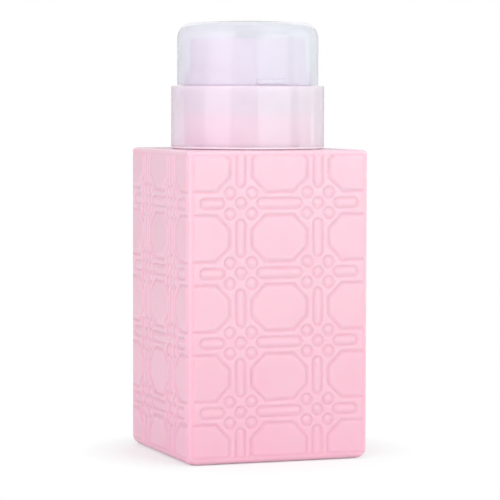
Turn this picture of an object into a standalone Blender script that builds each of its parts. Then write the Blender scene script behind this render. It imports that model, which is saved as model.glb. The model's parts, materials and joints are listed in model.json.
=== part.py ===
"""Push-down dispenser for nail polish remover.

A square blow-moulded bottle carries a lattice in low relief: octagons, bars and
five-dot crosses that stand up from a sunk field on each side. A screw closure with a
smooth outer shell holds the pump on the neck. A dome lid turns on a pin at the back.
Pressing the dish drives the stem and piston down, and liquid rises into the dish.

Metres, +Z up. The origin is the centre of the foot. The front face looks along -Y.
"""
import math

import bmesh
import bpy
from mathutils import Matrix, Vector

MM = 0.001

# General clearances
SEAT_GAP = 0.3 * MM
RUNNING_GAP = 0.4 * MM
CUT_OVERRUN = 1.0 * MM
WELD_DISTANCE = 0.001 * MM

# Bottle body
BODY_WIDTH = 53.0 * MM
BODY_HEIGHT = 86.3 * MM
BODY_CORNER_RADIUS = 2.0 * MM
BASE_EDGE_RADIUS = 2.6 * MM
SHOULDER_EDGE_RADIUS = 1.1 * MM
BODY_WALL = 1.2 * MM
FLOOR_WALL = 1.4 * MM
SHOULDER_WALL = 1.5 * MM
INNER_CORNER_RADIUS = 1.2 * MM
FOOT_RING_WIDTH = 2.6 * MM
PUSH_UP_DEPTH = 1.0 * MM
PUSH_UP_RUN = 1.4 * MM

# Bottle neck
NECK_RADIUS = 14.8 * MM
NECK_WALL = 1.8 * MM
NECK_HEIGHT = 9.9 * MM
NECK_FILLET = 0.8 * MM
NECK_BEAD_REACH = 1.0 * MM
NECK_BEAD_RISE = 1.7 * MM
NECK_BEAD_HEIGHT = 1.4 * MM
LIP_CHAMFER = 0.4 * MM

# Lattice relief on the four sides
FIELD_SIDE_MARGIN = 1.4 * MM
FIELD_BOTTOM = 2.0 * MM
FIELD_TOP_MARGIN = 1.3 * MM
FIELD_DEPTH = 0.5 * MM
FIELD_WALL_RUN = 0.25 * MM
FIELD_CREASE = 0.15 * MM
TILE_SINK = 0.4 * MM
LATTICE_PITCH_X = 22.6 * MM
LATTICE_PITCH_Z = 19.15 * MM
TOP_CROSS_DROP = 13.2 * MM
STRAND_WIDTH_ACROSS = 1.9 * MM
STRAND_WIDTH_UP = 1.875 * MM
OCTAGON_CORNER_CUT = 4.05 * MM
TILE_SLOPE_RUN = 0.5 * MM
BAR_HALF_THICKNESS = 1.3 * MM
BAR_END_GAP = 3.35 * MM
EDGE_BAR_MARGIN = 2.1 * MM
POST_HALF_THICKNESS = 1.25 * MM
POST_END_GAP = 3.075 * MM
DOT_RADIUS = 1.45 * MM
DOT_OFFSET_X = 3.17 * MM
DOT_OFFSET_Z = 2.86 * MM

# Screw closure: threaded inner cap and smooth outer shell
CAP_BOTTOM_RISE = 1.3 * MM
CAP_THREAD_CLEARANCE = 0.45 * MM
CAP_WALL = 1.75 * MM
CAP_DECK_THICKNESS = 1.2 * MM
GUIDE_RING_WALL = 1.2 * MM
GUIDE_RING_OVERLAP = 1.9 * MM
GUIDE_RING_CHAMFER = 0.3 * MM
SHELL_RIM_WIDTH = 3.4 * MM
SHELL_HEIGHT = 17.3 * MM
SHELL_WALL = 1.3 * MM
SHELL_BOTTOM_RISE = 0.5 * MM
SHELL_EDGE_RADIUS = 0.5 * MM
SHELL_SLEEVE_WALL = 1.0 * MM
SHELL_SLEEVE_LENGTH = 8.0 * MM

# Dome lid
LID_SETBACK = 1.7 * MM
LID_WALL = 1.2 * MM
LID_HEADROOM = 3.4 * MM
LID_CROWN = 0.6 * MM
LID_SHOULDER_RADIUS = 4.2 * MM
LID_ROOF_THICKNESS = 1.2 * MM
SEAL_HOLDER_RADIUS = 5.3 * MM
SEAL_HOLDER_WALL = 1.0 * MM
SEAL_SHELF_WIDTH = 1.0 * MM
SEAL_THICKNESS = 1.0 * MM
THUMB_TAB_HALF_WIDTH = 4.4 * MM
THUMB_TAB_REACH = 1.5 * MM
THUMB_TAB_THICKNESS = 1.3 * MM
THUMB_TAB_CORNER_RADIUS = 1.0 * MM

# Hinge at the back of the closure
HINGE_PIN_RADIUS = 0.6 * MM
HINGE_BARREL_RADIUS = 1.5 * MM
HINGE_TONGUE_HALF_WIDTH = 2.4 * MM
HINGE_LUG_THICKNESS = 2.0 * MM
HINGE_CORBEL_DROP = 3.6 * MM
HINGE_WELD_DEPTH = 0.6 * MM

# Press dish
DISH_WALL = 1.2 * MM
DISH_HEIGHT = 11.1 * MM
DISH_RIM_ROUND = 0.4 * MM
DISH_BOWL_DEPTH = 5.4 * MM
DISH_BOWL_FILLET = 3.0 * MM
DISH_BOWL_FALL = 0.3 * MM
DISH_HUB_WALL = 1.3 * MM
DISH_HUB_RISE = 0.9 * MM
DISH_SOCKET_DEPTH = 3.4 * MM
PRESS_STROKE = 5.0 * MM

# Pump insert
GASKET_THICKNESS = 1.0 * MM
FLANGE_CLEARANCE = 0.65 * MM
FLANGE_THICKNESS = 1.5 * MM
FLANGE_CONE_RUN = 1.4 * MM
FLANGE_CONE_HEIGHT = 1.8 * MM
CHAMBER_RADIUS = 7.0 * MM
CHAMBER_WALL = 1.1 * MM
CHAMBER_DEPTH = 35.3 * MM
BALL_WELL_CLEARANCE = 1.0 * MM
BALL_WELL_DEPTH = 5.0 * MM
INLET_RADIUS = 1.3 * MM
INLET_LENGTH = 1.6 * MM
TUBE_SOCKET_LENGTH = 10.0 * MM
SOCKET_WALL = 1.1 * MM
CHAMBER_CONE_HEIGHT = 5.0 * MM
GUIDE_FLANGE_WIDTH = 2.8 * MM
GUIDE_SLEEVE_LENGTH = 4.6 * MM
GUIDE_HUB_WALL = 1.6 * MM
GUIDE_HUB_RISE = 0.6 * MM
STEM_SEAL_THICKNESS = 1.0 * MM
CAGE_THICKNESS = 1.2 * MM
CAGE_BOSS_RADIUS = 1.0 * MM
CAGE_HOLE_RADIUS = 0.7 * MM
CAGE_HOLE_CIRCLE = 2.2 * MM
CAGE_HOLE_COUNT = 4
BALL_LIFT = 1.0 * MM
LOWER_BALL_RADIUS = 2.2 * MM
UPPER_BALL_RADIUS = 1.5 * MM

# Dip tube
TUBE_BORE_RADIUS = 1.8 * MM
TUBE_WALL = 0.8 * MM
TUBE_END_RISE = 2.0 * MM
TUBE_NOTCH_HEIGHT = 2.6 * MM

# Stem, piston and spring
STEM_WALL = 1.5 * MM
STEM_THROAT_RADIUS = 1.2 * MM
PISTON_LENGTH = 7.0 * MM
PISTON_LIP_WIDTH = 0.7 * MM
PISTON_LIP_HEIGHT = 2.2 * MM
PISTON_LIP_EDGE = 0.8 * MM
PISTON_WAIST = 1.1 * MM
FOOT_FLANGE_CLEARANCE = 1.3 * MM
FOOT_FLANGE_THICKNESS = 1.2 * MM
FOOT_SPIGOT_LENGTH = 2.9 * MM
FOOT_SPIGOT_WALL = 0.7 * MM
FOOT_SEAT_WIDTH = 0.4 * MM
OUTLET_BORE_RADIUS = 0.8 * MM
OUTLET_CAP_THICKNESS = 0.7 * MM
OUTLET_CAP_CROWN = 0.8 * MM
OUTLET_SHOULDER_SHARE = 0.75
OUTLET_SPIGOT_LENGTH = 2.8 * MM
SPRING_SETBACK = 2.0 * MM
SPRING_WIRE_RADIUS = 0.45 * MM
SPRING_END_PITCH = 1.5 * MM
SPRING_TURNS = 6
SPRING_END_TURNS = 1

# Facets
LARGE_SEGMENTS = 36
CAP_SEGMENTS = 24
SMALL_SEGMENTS = 18
BALL_SEGMENTS = 10
BALL_RINGS = 6
PIN_SEGMENTS = 10
CORNER_STEPS = 5
FILLET_STEPS = 3
SHOULDER_STEPS = 5
CROWN_STEPS = 3
DOT_SIDES = 6
CAPSULE_END_STEPS = 3
SPRING_POINTS_PER_TURN = 8
SMOOTH_ANGLE = math.radians(35)

# Radii and widths that follow from the sizes above
NECK_BORE_RADIUS = NECK_RADIUS - NECK_WALL
NECK_BEAD_RADIUS = NECK_RADIUS + NECK_BEAD_REACH
GASKET_INNER_RADIUS = NECK_BORE_RADIUS + SEAT_GAP
CAP_BORE_RADIUS = NECK_BEAD_RADIUS + CAP_THREAD_CLEARANCE
CAP_OUTER_RADIUS = CAP_BORE_RADIUS + CAP_WALL
FLANGE_RADIUS = CAP_BORE_RADIUS - FLANGE_CLEARANCE
GUIDE_RING_BORE_RADIUS = CAP_OUTER_RADIUS - GUIDE_RING_WALL
DISH_RADIUS = GUIDE_RING_BORE_RADIUS - RUNNING_GAP
SHELL_RADIUS = CAP_OUTER_RADIUS + SEAT_GAP + SHELL_RIM_WIDTH
LID_RADIUS = SHELL_RADIUS - LID_SETBACK
GUIDE_FLANGE_RADIUS = CHAMBER_RADIUS + GUIDE_FLANGE_WIDTH
CAP_DECK_BORE_RADIUS = GUIDE_FLANGE_RADIUS + RUNNING_GAP
STEM_BORE_RADIUS = UPPER_BALL_RADIUS + RUNNING_GAP
STEM_RADIUS = STEM_BORE_RADIUS + STEM_WALL
FOOT_BORE_RADIUS = STEM_BORE_RADIUS - SEAT_GAP - FOOT_SPIGOT_WALL
FOOT_FLANGE_RADIUS = CHAMBER_RADIUS - FOOT_FLANGE_CLEARANCE
SPRING_RADIUS = CHAMBER_RADIUS - SPRING_SETBACK
BALL_WELL_RADIUS = LOWER_BALL_RADIUS + BALL_WELL_CLEARANCE
TUBE_RADIUS = TUBE_BORE_RADIUS + TUBE_WALL
FIELD_HALF_WIDTH = BODY_WIDTH / 2 - FIELD_SIDE_MARGIN
OCTAGON_HALF_WIDTH = LATTICE_PITCH_X / 2 - POST_HALF_THICKNESS - STRAND_WIDTH_ACROSS
OCTAGON_HALF_HEIGHT = LATTICE_PITCH_Z / 2 - BAR_HALF_THICKNESS - STRAND_WIDTH_UP
BAR_HALF_LENGTH = LATTICE_PITCH_X / 2 - DOT_RADIUS - BAR_END_GAP
POST_HALF_LENGTH = LATTICE_PITCH_Z / 2 - DOT_RADIUS - POST_END_GAP

# Heights that follow from the sizes above, from the foot up
FIELD_TOP = BODY_HEIGHT - FIELD_TOP_MARGIN
TOP_CROSS_Z = FIELD_TOP - TOP_CROSS_DROP
TUBE_END_Z = FLOOR_WALL + PUSH_UP_DEPTH + TUBE_END_RISE
NECK_TOP_Z = BODY_HEIGHT + NECK_HEIGHT
GASKET_Z = NECK_TOP_Z + SEAT_GAP
FLANGE_Z = GASKET_Z + GASKET_THICKNESS + SEAT_GAP
FLANGE_TOP_Z = FLANGE_Z + FLANGE_THICKNESS
DECK_Z = FLANGE_TOP_Z + SEAT_GAP
DECK_TOP_Z = DECK_Z + CAP_DECK_THICKNESS
DISH_SKIRT_Z = DECK_TOP_Z + SEAT_GAP + PRESS_STROKE
DISH_RIM_Z = DISH_SKIRT_Z + DISH_HEIGHT
SHELL_Z = BODY_HEIGHT + SHELL_BOTTOM_RISE
SHELL_TOP_Z = SHELL_Z + SHELL_HEIGHT
LID_Z = SHELL_TOP_Z + SEAT_GAP
LID_TOP_Z = DISH_RIM_Z + LID_HEADROOM + LID_CROWN + LID_ROOF_THICKNESS
GUIDE_SLEEVE_Z = DECK_Z - GUIDE_SLEEVE_LENGTH
STEM_SEAL_Z = GUIDE_SLEEVE_Z - SEAT_GAP - STEM_SEAL_THICKNESS
PISTON_TOP_Z = STEM_SEAL_Z - SEAT_GAP
PISTON_Z = PISTON_TOP_Z - PISTON_LENGTH
FOOT_FLANGE_TOP_Z = PISTON_Z - SEAT_GAP
FOOT_Z = FOOT_FLANGE_TOP_Z - FOOT_FLANGE_THICKNESS
FOOT_TOP_Z = FOOT_FLANGE_TOP_Z + FOOT_SPIGOT_LENGTH
DISH_FLOOR_Z = DISH_RIM_Z - DISH_BOWL_DEPTH
HUB_TOP_Z = DISH_FLOOR_Z + DISH_HUB_RISE
STEM_TOP_Z = HUB_TOP_Z - DISH_HUB_RISE + SEAT_GAP
OUTLET_Z = STEM_TOP_Z + SEAT_GAP
OUTLET_TOP_Z = OUTLET_Z + OUTLET_CAP_THICKNESS + OUTLET_CAP_CROWN
SEAL_Z = OUTLET_TOP_Z + SEAT_GAP
CHAMBER_FLOOR_Z = FLANGE_Z - CHAMBER_DEPTH
CAGE_Z = CHAMBER_FLOOR_Z + SEAT_GAP
CAGE_TOP_Z = CAGE_Z + CAGE_THICKNESS
BALL_SEAT_Z = CHAMBER_FLOOR_Z - BALL_WELL_DEPTH
INLET_Z = BALL_SEAT_Z - (BALL_WELL_RADIUS - INLET_RADIUS)
SOCKET_TOP_Z = INLET_Z - INLET_LENGTH
SOCKET_Z = SOCKET_TOP_Z - TUBE_SOCKET_LENGTH
HINGE_Y = LID_RADIUS + SEAT_GAP + HINGE_BARREL_RADIUS
HINGE_Z = LID_Z + SEAT_GAP / 2 + HINGE_BARREL_RADIUS
HINGE_BORE_RADIUS = HINGE_PIN_RADIUS + SEAT_GAP
HINGE_LUG_X = HINGE_TONGUE_HALF_WIDTH + SEAT_GAP


def clear_scene():
    for existing in list(bpy.data.objects):
        bpy.data.objects.remove(existing, do_unlink=True)


def material(name, colour, roughness, metallic=0.0):
    """A Principled material; the colour is linear."""
    finish = bpy.data.materials.new(name)
    finish.use_nodes = True
    shader = finish.node_tree.nodes["Principled BSDF"]
    shader.inputs["Base Color"].default_value = (*colour, 1)
    shader.inputs["Roughness"].default_value = roughness
    shader.inputs["Metallic"].default_value = metallic
    finish.diffuse_color = (*colour, 1)
    return finish


def empty_at(name, place):
    marker = bpy.data.objects.new(name, None)
    marker.location = place
    bpy.context.scene.collection.objects.link(marker)
    return marker


def finish_object(name, bm, finish=None, axis=None):
    """Make an object of a bmesh in world places; its parent is the empty on its joint axis."""
    bmesh.ops.remove_doubles(bm, verts=bm.verts, dist=WELD_DISTANCE)
    bmesh.ops.recalc_face_normals(bm, faces=bm.faces)
    if axis is not None:
        bmesh.ops.translate(bm, verts=bm.verts, vec=-axis.location)
    mesh = bpy.data.meshes.new(name)
    bm.to_mesh(mesh)
    bm.free()
    mesh.shade_smooth()
    mesh.set_sharp_from_angle(angle=SMOOTH_ANGLE)
    made = bpy.data.objects.new(name, mesh)
    bpy.context.scene.collection.objects.link(made)
    made.parent = axis
    if finish is not None:
        mesh.materials.append(finish)
    return made


def as_tool(made):
    made.hide_render = True
    made.display_type = 'WIRE'
    return made


def combine(target, tool, operation, solver='EXACT'):
    change = target.modifiers.new(tool.name, 'BOOLEAN')
    change.operation = operation
    change.solver = solver
    change.object = as_tool(tool)


def arc(centre, radius, start, end, steps):
    """Points on an arc in the (radius, height) plane; angles in degrees from +radius."""
    points = []
    for step in range(steps + 1):
        angle = math.radians(start + (end - start) * step / steps)
        points.append((centre[0] + radius * math.cos(angle), centre[1] + radius * math.sin(angle)))
    return points


def turned(name, profile, segments, finish, axis=None, closed=True):
    """Spin a (radius, height) profile about the Z axis through the origin."""
    bm = bmesh.new()
    verts = [bm.verts.new((radius, 0, height)) for radius, height in profile]
    edges = [bm.edges.new(pair) for pair in zip(verts, verts[1:])]
    if closed:
        edges.append(bm.edges.new((verts[-1], verts[0])))
    bmesh.ops.spin(bm, geom=verts + edges, cent=(0, 0, 0), axis=(0, 0, 1),
                   angle=2 * math.pi, steps=segments, use_merge=True)
    return finish_object(name, bm, finish, axis)


def prism(name, outline, plane, start, end, finish=None, axis=None):
    """Extrude an outline; plane 'YZ' goes along X from start to end, plane 'XY' along Z."""
    place = {'YZ': lambda a, b: (start, a, b), 'XY': lambda a, b: (a, b, start)}[plane]
    travel = {'YZ': (end - start, 0, 0), 'XY': (0, 0, end - start)}[plane]
    bm = bmesh.new()
    face = bm.faces.new([bm.verts.new(place(a, b)) for a, b in outline])
    grown = bmesh.ops.extrude_face_region(bm, geom=[face])["geom"]
    far_verts = [item for item in grown if isinstance(item, bmesh.types.BMVert)]
    bmesh.ops.translate(bm, verts=far_verts, vec=travel)
    return finish_object(name, bm, finish, axis)


def rod(name, radius, centre, along, half_length, segments, finish=None, axis=None):
    """A plain round rod through a centre, along X or Z."""
    turn = Matrix.Rotation(math.pi / 2, 4, 'Y') if along == 'X' else Matrix.Identity(4)
    bm = bmesh.new()
    bmesh.ops.create_cone(bm, cap_ends=True, segments=segments, radius1=radius, radius2=radius,
                          depth=2 * half_length, matrix=Matrix.Translation(centre) @ turn)
    return finish_object(name, bm, finish, axis)


def ball(name, radius, height, finish, axis):
    bm = bmesh.new()
    bmesh.ops.create_uvsphere(bm, u_segments=BALL_SEGMENTS, v_segments=BALL_RINGS, radius=radius,
                              matrix=Matrix.Translation((0, 0, height)))
    return finish_object(name, bm, finish, axis)


# Bottle: one skin from the foot's centre, up the outside, over the lip and down the inside

def square_ring(half_width, corner_radius, height):
    """A rounded square; every corner has the same count of points as a quarter of a round ring."""
    points = []
    middle = half_width - corner_radius
    for quarter in range(4):
        turn = Matrix.Rotation(quarter * math.pi / 2, 3, 'Z')
        for step in range(CORNER_STEPS + 1):
            angle = math.pi / 2 * step / CORNER_STEPS
            across = middle + corner_radius * math.cos(angle)
            along = middle + corner_radius * math.sin(angle)
            points.append(turn @ Vector((across, along, height)))
    return points


def round_ring(radius, height):
    """A circle with as many points as a rounded square, in step with its corners."""
    count = 4 * (CORNER_STEPS + 1)
    first = math.pi / 4 - math.pi * CORNER_STEPS / count
    turns = [first + 2 * math.pi * index / count for index in range(count)]
    return [Vector((radius * math.cos(turn), radius * math.sin(turn), height)) for turn in turns]


def outer_body_rings():
    half = BODY_WIDTH / 2
    foot_edge = half - BASE_EDGE_RADIUS
    foot_inner = foot_edge - FOOT_RING_WIDTH
    rings = [square_ring(foot_inner - PUSH_UP_RUN, BODY_CORNER_RADIUS, PUSH_UP_DEPTH),
             square_ring(foot_inner, BODY_CORNER_RADIUS, 0)]
    for reach, height in arc((foot_edge, BASE_EDGE_RADIUS), BASE_EDGE_RADIUS, -90, 0, FILLET_STEPS):
        rings.append(square_ring(reach, BODY_CORNER_RADIUS, height))
    shoulder = (half - SHOULDER_EDGE_RADIUS, BODY_HEIGHT - SHOULDER_EDGE_RADIUS)
    for reach, height in arc(shoulder, SHOULDER_EDGE_RADIUS, 0, 90, FILLET_STEPS):
        rings.append(square_ring(reach, BODY_CORNER_RADIUS, height))
    return rings


def neck_rings():
    bead_z = BODY_HEIGHT + NECK_BEAD_RISE
    bead_top = bead_z + NECK_BEAD_HEIGHT
    bead_slope = NECK_BEAD_RADIUS - NECK_RADIUS
    path = [(NECK_RADIUS + NECK_FILLET, BODY_HEIGHT),
            (NECK_RADIUS, BODY_HEIGHT + NECK_FILLET),
            (NECK_RADIUS, bead_z),
            (NECK_BEAD_RADIUS, bead_z),
            (NECK_BEAD_RADIUS, bead_top - bead_slope / 2),
            (NECK_RADIUS, bead_top),
            (NECK_RADIUS, NECK_TOP_Z - LIP_CHAMFER),
            (NECK_RADIUS - LIP_CHAMFER, NECK_TOP_Z),
            (NECK_BORE_RADIUS, NECK_TOP_Z),
            (NECK_BORE_RADIUS, BODY_HEIGHT - SHOULDER_WALL)]
    return [round_ring(radius, height) for radius, height in path]


def inner_body_rings():
    half = BODY_WIDTH / 2 - FIELD_DEPTH - BODY_WALL
    ceiling = BODY_HEIGHT - SHOULDER_WALL
    floor_edge = half - BASE_EDGE_RADIUS
    floor_inner = BODY_WIDTH / 2 - BASE_EDGE_RADIUS - FOOT_RING_WIDTH
    rings = []
    top_corner = (half - SHOULDER_EDGE_RADIUS, ceiling - SHOULDER_EDGE_RADIUS)
    for reach, height in arc(top_corner, SHOULDER_EDGE_RADIUS, 90, 0, FILLET_STEPS):
        rings.append(square_ring(reach, INNER_CORNER_RADIUS, height))
    low_corner = (floor_edge, FLOOR_WALL + BASE_EDGE_RADIUS)
    for reach, height in arc(low_corner, BASE_EDGE_RADIUS, 0, -90, FILLET_STEPS):
        rings.append(square_ring(reach, INNER_CORNER_RADIUS, height))
    rings.append(square_ring(floor_inner, INNER_CORNER_RADIUS, FLOOR_WALL))
    rings.append(square_ring(floor_inner - PUSH_UP_RUN, INNER_CORNER_RADIUS, FLOOR_WALL + PUSH_UP_DEPTH))
    return rings


def bottle_skin():
    bm = bmesh.new()
    rings = [[bm.verts.new(point) for point in ring]
             for ring in outer_body_rings() + neck_rings() + inner_body_rings()]
    for lower, upper in zip(rings, rings[1:]):
        for index, corner in enumerate(lower):
            following = (index + 1) % len(lower)
            bm.faces.new((corner, lower[following], upper[following], upper[index]))
    bm.faces.new(rings[0])
    bm.faces.new(rings[-1])
    return bm


# Lattice relief: outlines lie in the plane of one side, as (across, height) pairs

def capsule(centre, half_length, half_thickness, upright):
    """A bar with round ends."""
    reach = half_length - half_thickness
    outline = []
    for end, start in ((1, -90), (-1, 90)):
        for along, aside in arc((end * reach, 0), half_thickness, start, start + 180, CAPSULE_END_STEPS):
            across, rise = (aside, along) if upright else (along, aside)
            outline.append(Vector((centre[0] + across, centre[1] + rise)))
    return outline if not upright else outline[::-1]


def octagon(centre):
    flat_x = OCTAGON_HALF_WIDTH - OCTAGON_CORNER_CUT
    flat_z = OCTAGON_HALF_HEIGHT - OCTAGON_CORNER_CUT
    outline = []
    for side_x, side_z in ((1, 1), (-1, 1), (-1, -1), (1, -1)):
        pair = [(OCTAGON_HALF_WIDTH * side_x, flat_z * side_z),
                (flat_x * side_x, OCTAGON_HALF_HEIGHT * side_z)]
        outline += pair if side_x * side_z > 0 else pair[::-1]
    return [Vector((centre[0] + across, centre[1] + rise)) for across, rise in outline]


def dot(centre):
    points = arc((0, 0), DOT_RADIUS, 0, 360, DOT_SIDES)[:-1]
    return [Vector((centre[0] + across, centre[1] + rise)) for across, rise in points]


def clipped_to_field(outline, inset):
    """Cut a convex outline back to the sunk field less an inset, one edge at a time."""
    reach = FIELD_HALF_WIDTH - inset
    limits = ((0, 1, reach), (0, -1, reach), (1, 1, FIELD_TOP - inset), (1, -1, -FIELD_BOTTOM - inset))
    for part, sign, limit in limits:
        kept = []
        for here, following in zip(outline, outline[1:] + outline[:1]):
            spare = limit - sign * here[part]
            spare_next = limit - sign * following[part]
            if spare >= 0:
                kept.append(here)
            if spare * spare_next < 0:
                kept.append(here.lerp(following, spare / (spare - spare_next)))
        outline = kept
    return outline


def inset_outline(outline, run):
    """Move every edge of a convex anticlockwise outline inwards by a run."""
    lines = []
    for here, following in zip(outline, outline[1:] + outline[:1]):
        along = (following - here).normalized()
        inward = Vector((-along.y, along.x))
        lines.append((here + inward * run, along))
    inset = []
    for (place_a, along_a), (place_b, along_b) in zip(lines[-1:] + lines[:-1], lines):
        cross = along_a.x * along_b.y - along_a.y * along_b.x
        offset = place_b - place_a
        inset.append(place_a + along_a * ((offset.x * along_b.y - offset.y * along_b.x) / cross))
    return inset


def add_tile(bm, outline, crest, turn):
    """A raised tile: straight sides in the wall, then a slope from the outline up to the crest."""
    floor = BODY_WIDTH / 2 - FIELD_DEPTH
    levels = ((outline, floor - TILE_SINK), (outline, floor), (crest, floor + FIELD_DEPTH))
    points = []
    for ring, depth in levels:
        for across, rise in ring:
            point = turn @ Vector((across, -depth, rise))
            if all((point - known).length > WELD_DISTANCE for known in points):
                points.append(point)
    hull = bmesh.ops.convex_hull(bm, input=[bm.verts.new(point) for point in points])
    left_over = set(hull["geom_interior"] + hull["geom_unused"])
    spare = [item for item in left_over if isinstance(item, bmesh.types.BMVert)]
    bmesh.ops.delete(bm, geom=spare, context='VERTS')


def bar(centre):
    """A level bar and its ridge; beside the field's border it ends short of it."""
    edge = FIELD_HALF_WIDTH - EDGE_BAR_MARGIN
    left = max(centre[0] - BAR_HALF_LENGTH, -edge)
    right = min(centre[0] + BAR_HALF_LENGTH, edge)
    if right - left <= 2 * BAR_HALF_THICKNESS:
        return [], []
    outline = capsule(((left + right) / 2, centre[1]), (right - left) / 2, BAR_HALF_THICKNESS, False)
    ends = (left + BAR_HALF_THICKNESS, right - BAR_HALF_THICKNESS)
    return outline, [Vector((end, centre[1])) for end in ends]


def post(centre):
    """An upright bar and its ridge."""
    reach = POST_HALF_LENGTH - POST_HALF_THICKNESS
    ridge = [Vector((centre[0], centre[1] - reach)), Vector((centre[0], centre[1] + reach))]
    return capsule(centre, POST_HALF_LENGTH, POST_HALF_THICKNESS, True), ridge


def cell_tiles(centre):
    """The tiles of one repeat: an octagon, the bar below, the post beside and the cross between."""
    cross = (centre[0] + LATTICE_PITCH_X / 2, centre[1] - LATTICE_PITCH_Z / 2)
    tiles = [(octagon(centre), inset_outline(octagon(centre), TILE_SLOPE_RUN)),
             bar((centre[0], cross[1])),
             post((cross[0], centre[1]))]
    for side, rise in ((0, 0), (1, 1), (-1, 1), (-1, -1), (1, -1)):
        middle = (cross[0] + side * DOT_OFFSET_X, cross[1] + rise * DOT_OFFSET_Z)
        tiles.append((dot(middle), [Vector(middle)]))
    return tiles


def lattice_tiles():
    """Every tile of one side that reaches into the field, as (outline, crest) pairs."""
    columns = int(FIELD_HALF_WIDTH / LATTICE_PITCH_X) + 1
    rows = int((FIELD_TOP - FIELD_BOTTOM) / LATTICE_PITCH_Z) + 2
    top_row_z = TOP_CROSS_Z + LATTICE_PITCH_Z / 2
    tiles = []
    for column in range(-columns, columns + 1):
        for row in range(rows):
            for outline, crest in cell_tiles((column * LATTICE_PITCH_X, top_row_z - row * LATTICE_PITCH_Z)):
                outline = clipped_to_field(outline, FIELD_CREASE)
                crest = clipped_to_field(crest, FIELD_CREASE + TILE_SLOPE_RUN)
                if outline and crest:
                    tiles.append((outline, crest))
    return tiles


def relief_tool():
    bm = bmesh.new()
    for outline, crest in lattice_tiles():
        for quarter in range(4):
            add_tile(bm, outline, crest, Matrix.Rotation(quarter * math.pi / 2, 3, 'Z'))
    return finish_object("relief_tool", bm)


def field_tool():
    """Four shallow blocks that sink the field on each side; their walls flare outwards."""
    floor = BODY_WIDTH / 2 - FIELD_DEPTH
    reach = FIELD_DEPTH + CUT_OVERRUN
    flare = FIELD_WALL_RUN * reach / FIELD_DEPTH
    middle = (FIELD_BOTTOM + FIELD_TOP) / 2
    half_height = (FIELD_TOP - FIELD_BOTTOM) / 2
    bm = bmesh.new()
    for quarter in range(4):
        turn = Matrix.Rotation(quarter * math.pi / 2, 3, 'Z')
        rings = []
        for depth, grow in ((floor, 0), (floor + reach, flare)):
            corners = [(side * (FIELD_HALF_WIDTH + grow), middle + rise * (half_height + grow))
                       for side, rise in ((-1, -1), (1, -1), (1, 1), (-1, 1))]
            rings.append([bm.verts.new(turn @ Vector((across, -depth, height)))
                          for across, height in corners])
        bm.faces.new(rings[0])
        bm.faces.new(rings[1])
        for index in range(4):
            following = (index + 1) % 4
            bm.faces.new((rings[0][index], rings[0][following], rings[1][following], rings[1][index]))
    return finish_object("field_tool", bm)


def make_bottle():
    finish = material("pink_frosted_pet", (0.95, 0.60, 0.70), 0.42)
    bottle = finish_object("bottle", bottle_skin(), finish)
    combine(bottle, field_tool(), 'DIFFERENCE')
    # The exact solver loses the thin skin among this many tiles; both meshes here are closed
    combine(bottle, relief_tool(), 'UNION', solver='MANIFOLD')
    # The shading of each facet follows its largest faces, so that the flats stay flat
    bottle.modifiers.new("even_shading", 'WEIGHTED_NORMAL')


# Closure

def make_threaded_cap(axis):
    top = DISH_SKIRT_Z + GUIDE_RING_OVERLAP
    bottom = BODY_HEIGHT + CAP_BOTTOM_RISE
    profile = [(CAP_OUTER_RADIUS, bottom),
               (CAP_OUTER_RADIUS, top - GUIDE_RING_CHAMFER),
               (CAP_OUTER_RADIUS - GUIDE_RING_CHAMFER, top),
               (GUIDE_RING_BORE_RADIUS + GUIDE_RING_CHAMFER, top),
               (GUIDE_RING_BORE_RADIUS, top - GUIDE_RING_CHAMFER),
               (GUIDE_RING_BORE_RADIUS, DECK_TOP_Z),
               (CAP_DECK_BORE_RADIUS, DECK_TOP_Z),
               (CAP_DECK_BORE_RADIUS, DECK_Z),
               (CAP_BORE_RADIUS, DECK_Z),
               (CAP_BORE_RADIUS, bottom)]
    finish = material("cap_natural_pp", (0.93, 0.80, 0.90), 0.40)
    turned("threaded_cap", profile, CAP_SEGMENTS, finish, axis)


def lug_outline():
    """Side view of a hinge lug: a barrel on a foot that runs down the shell as a corbel."""
    foot_y = SHELL_RADIUS - HINGE_WELD_DEPTH
    inner_y = HINGE_Y - HINGE_BARREL_RADIUS
    outer_y = HINGE_Y + HINGE_BARREL_RADIUS
    barrel = arc((HINGE_Y, HINGE_Z), HINGE_BARREL_RADIUS, 0, 180, 2 * FILLET_STEPS)
    return [(inner_y, SHELL_TOP_Z - HINGE_WELD_DEPTH),
            (foot_y - HINGE_WELD_DEPTH, SHELL_TOP_Z - HINGE_WELD_DEPTH),
            (foot_y - HINGE_WELD_DEPTH, SHELL_TOP_Z - HINGE_CORBEL_DROP),
            (foot_y, SHELL_TOP_Z - HINGE_CORBEL_DROP),
            (outer_y, SHELL_TOP_Z)] + barrel


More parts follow.
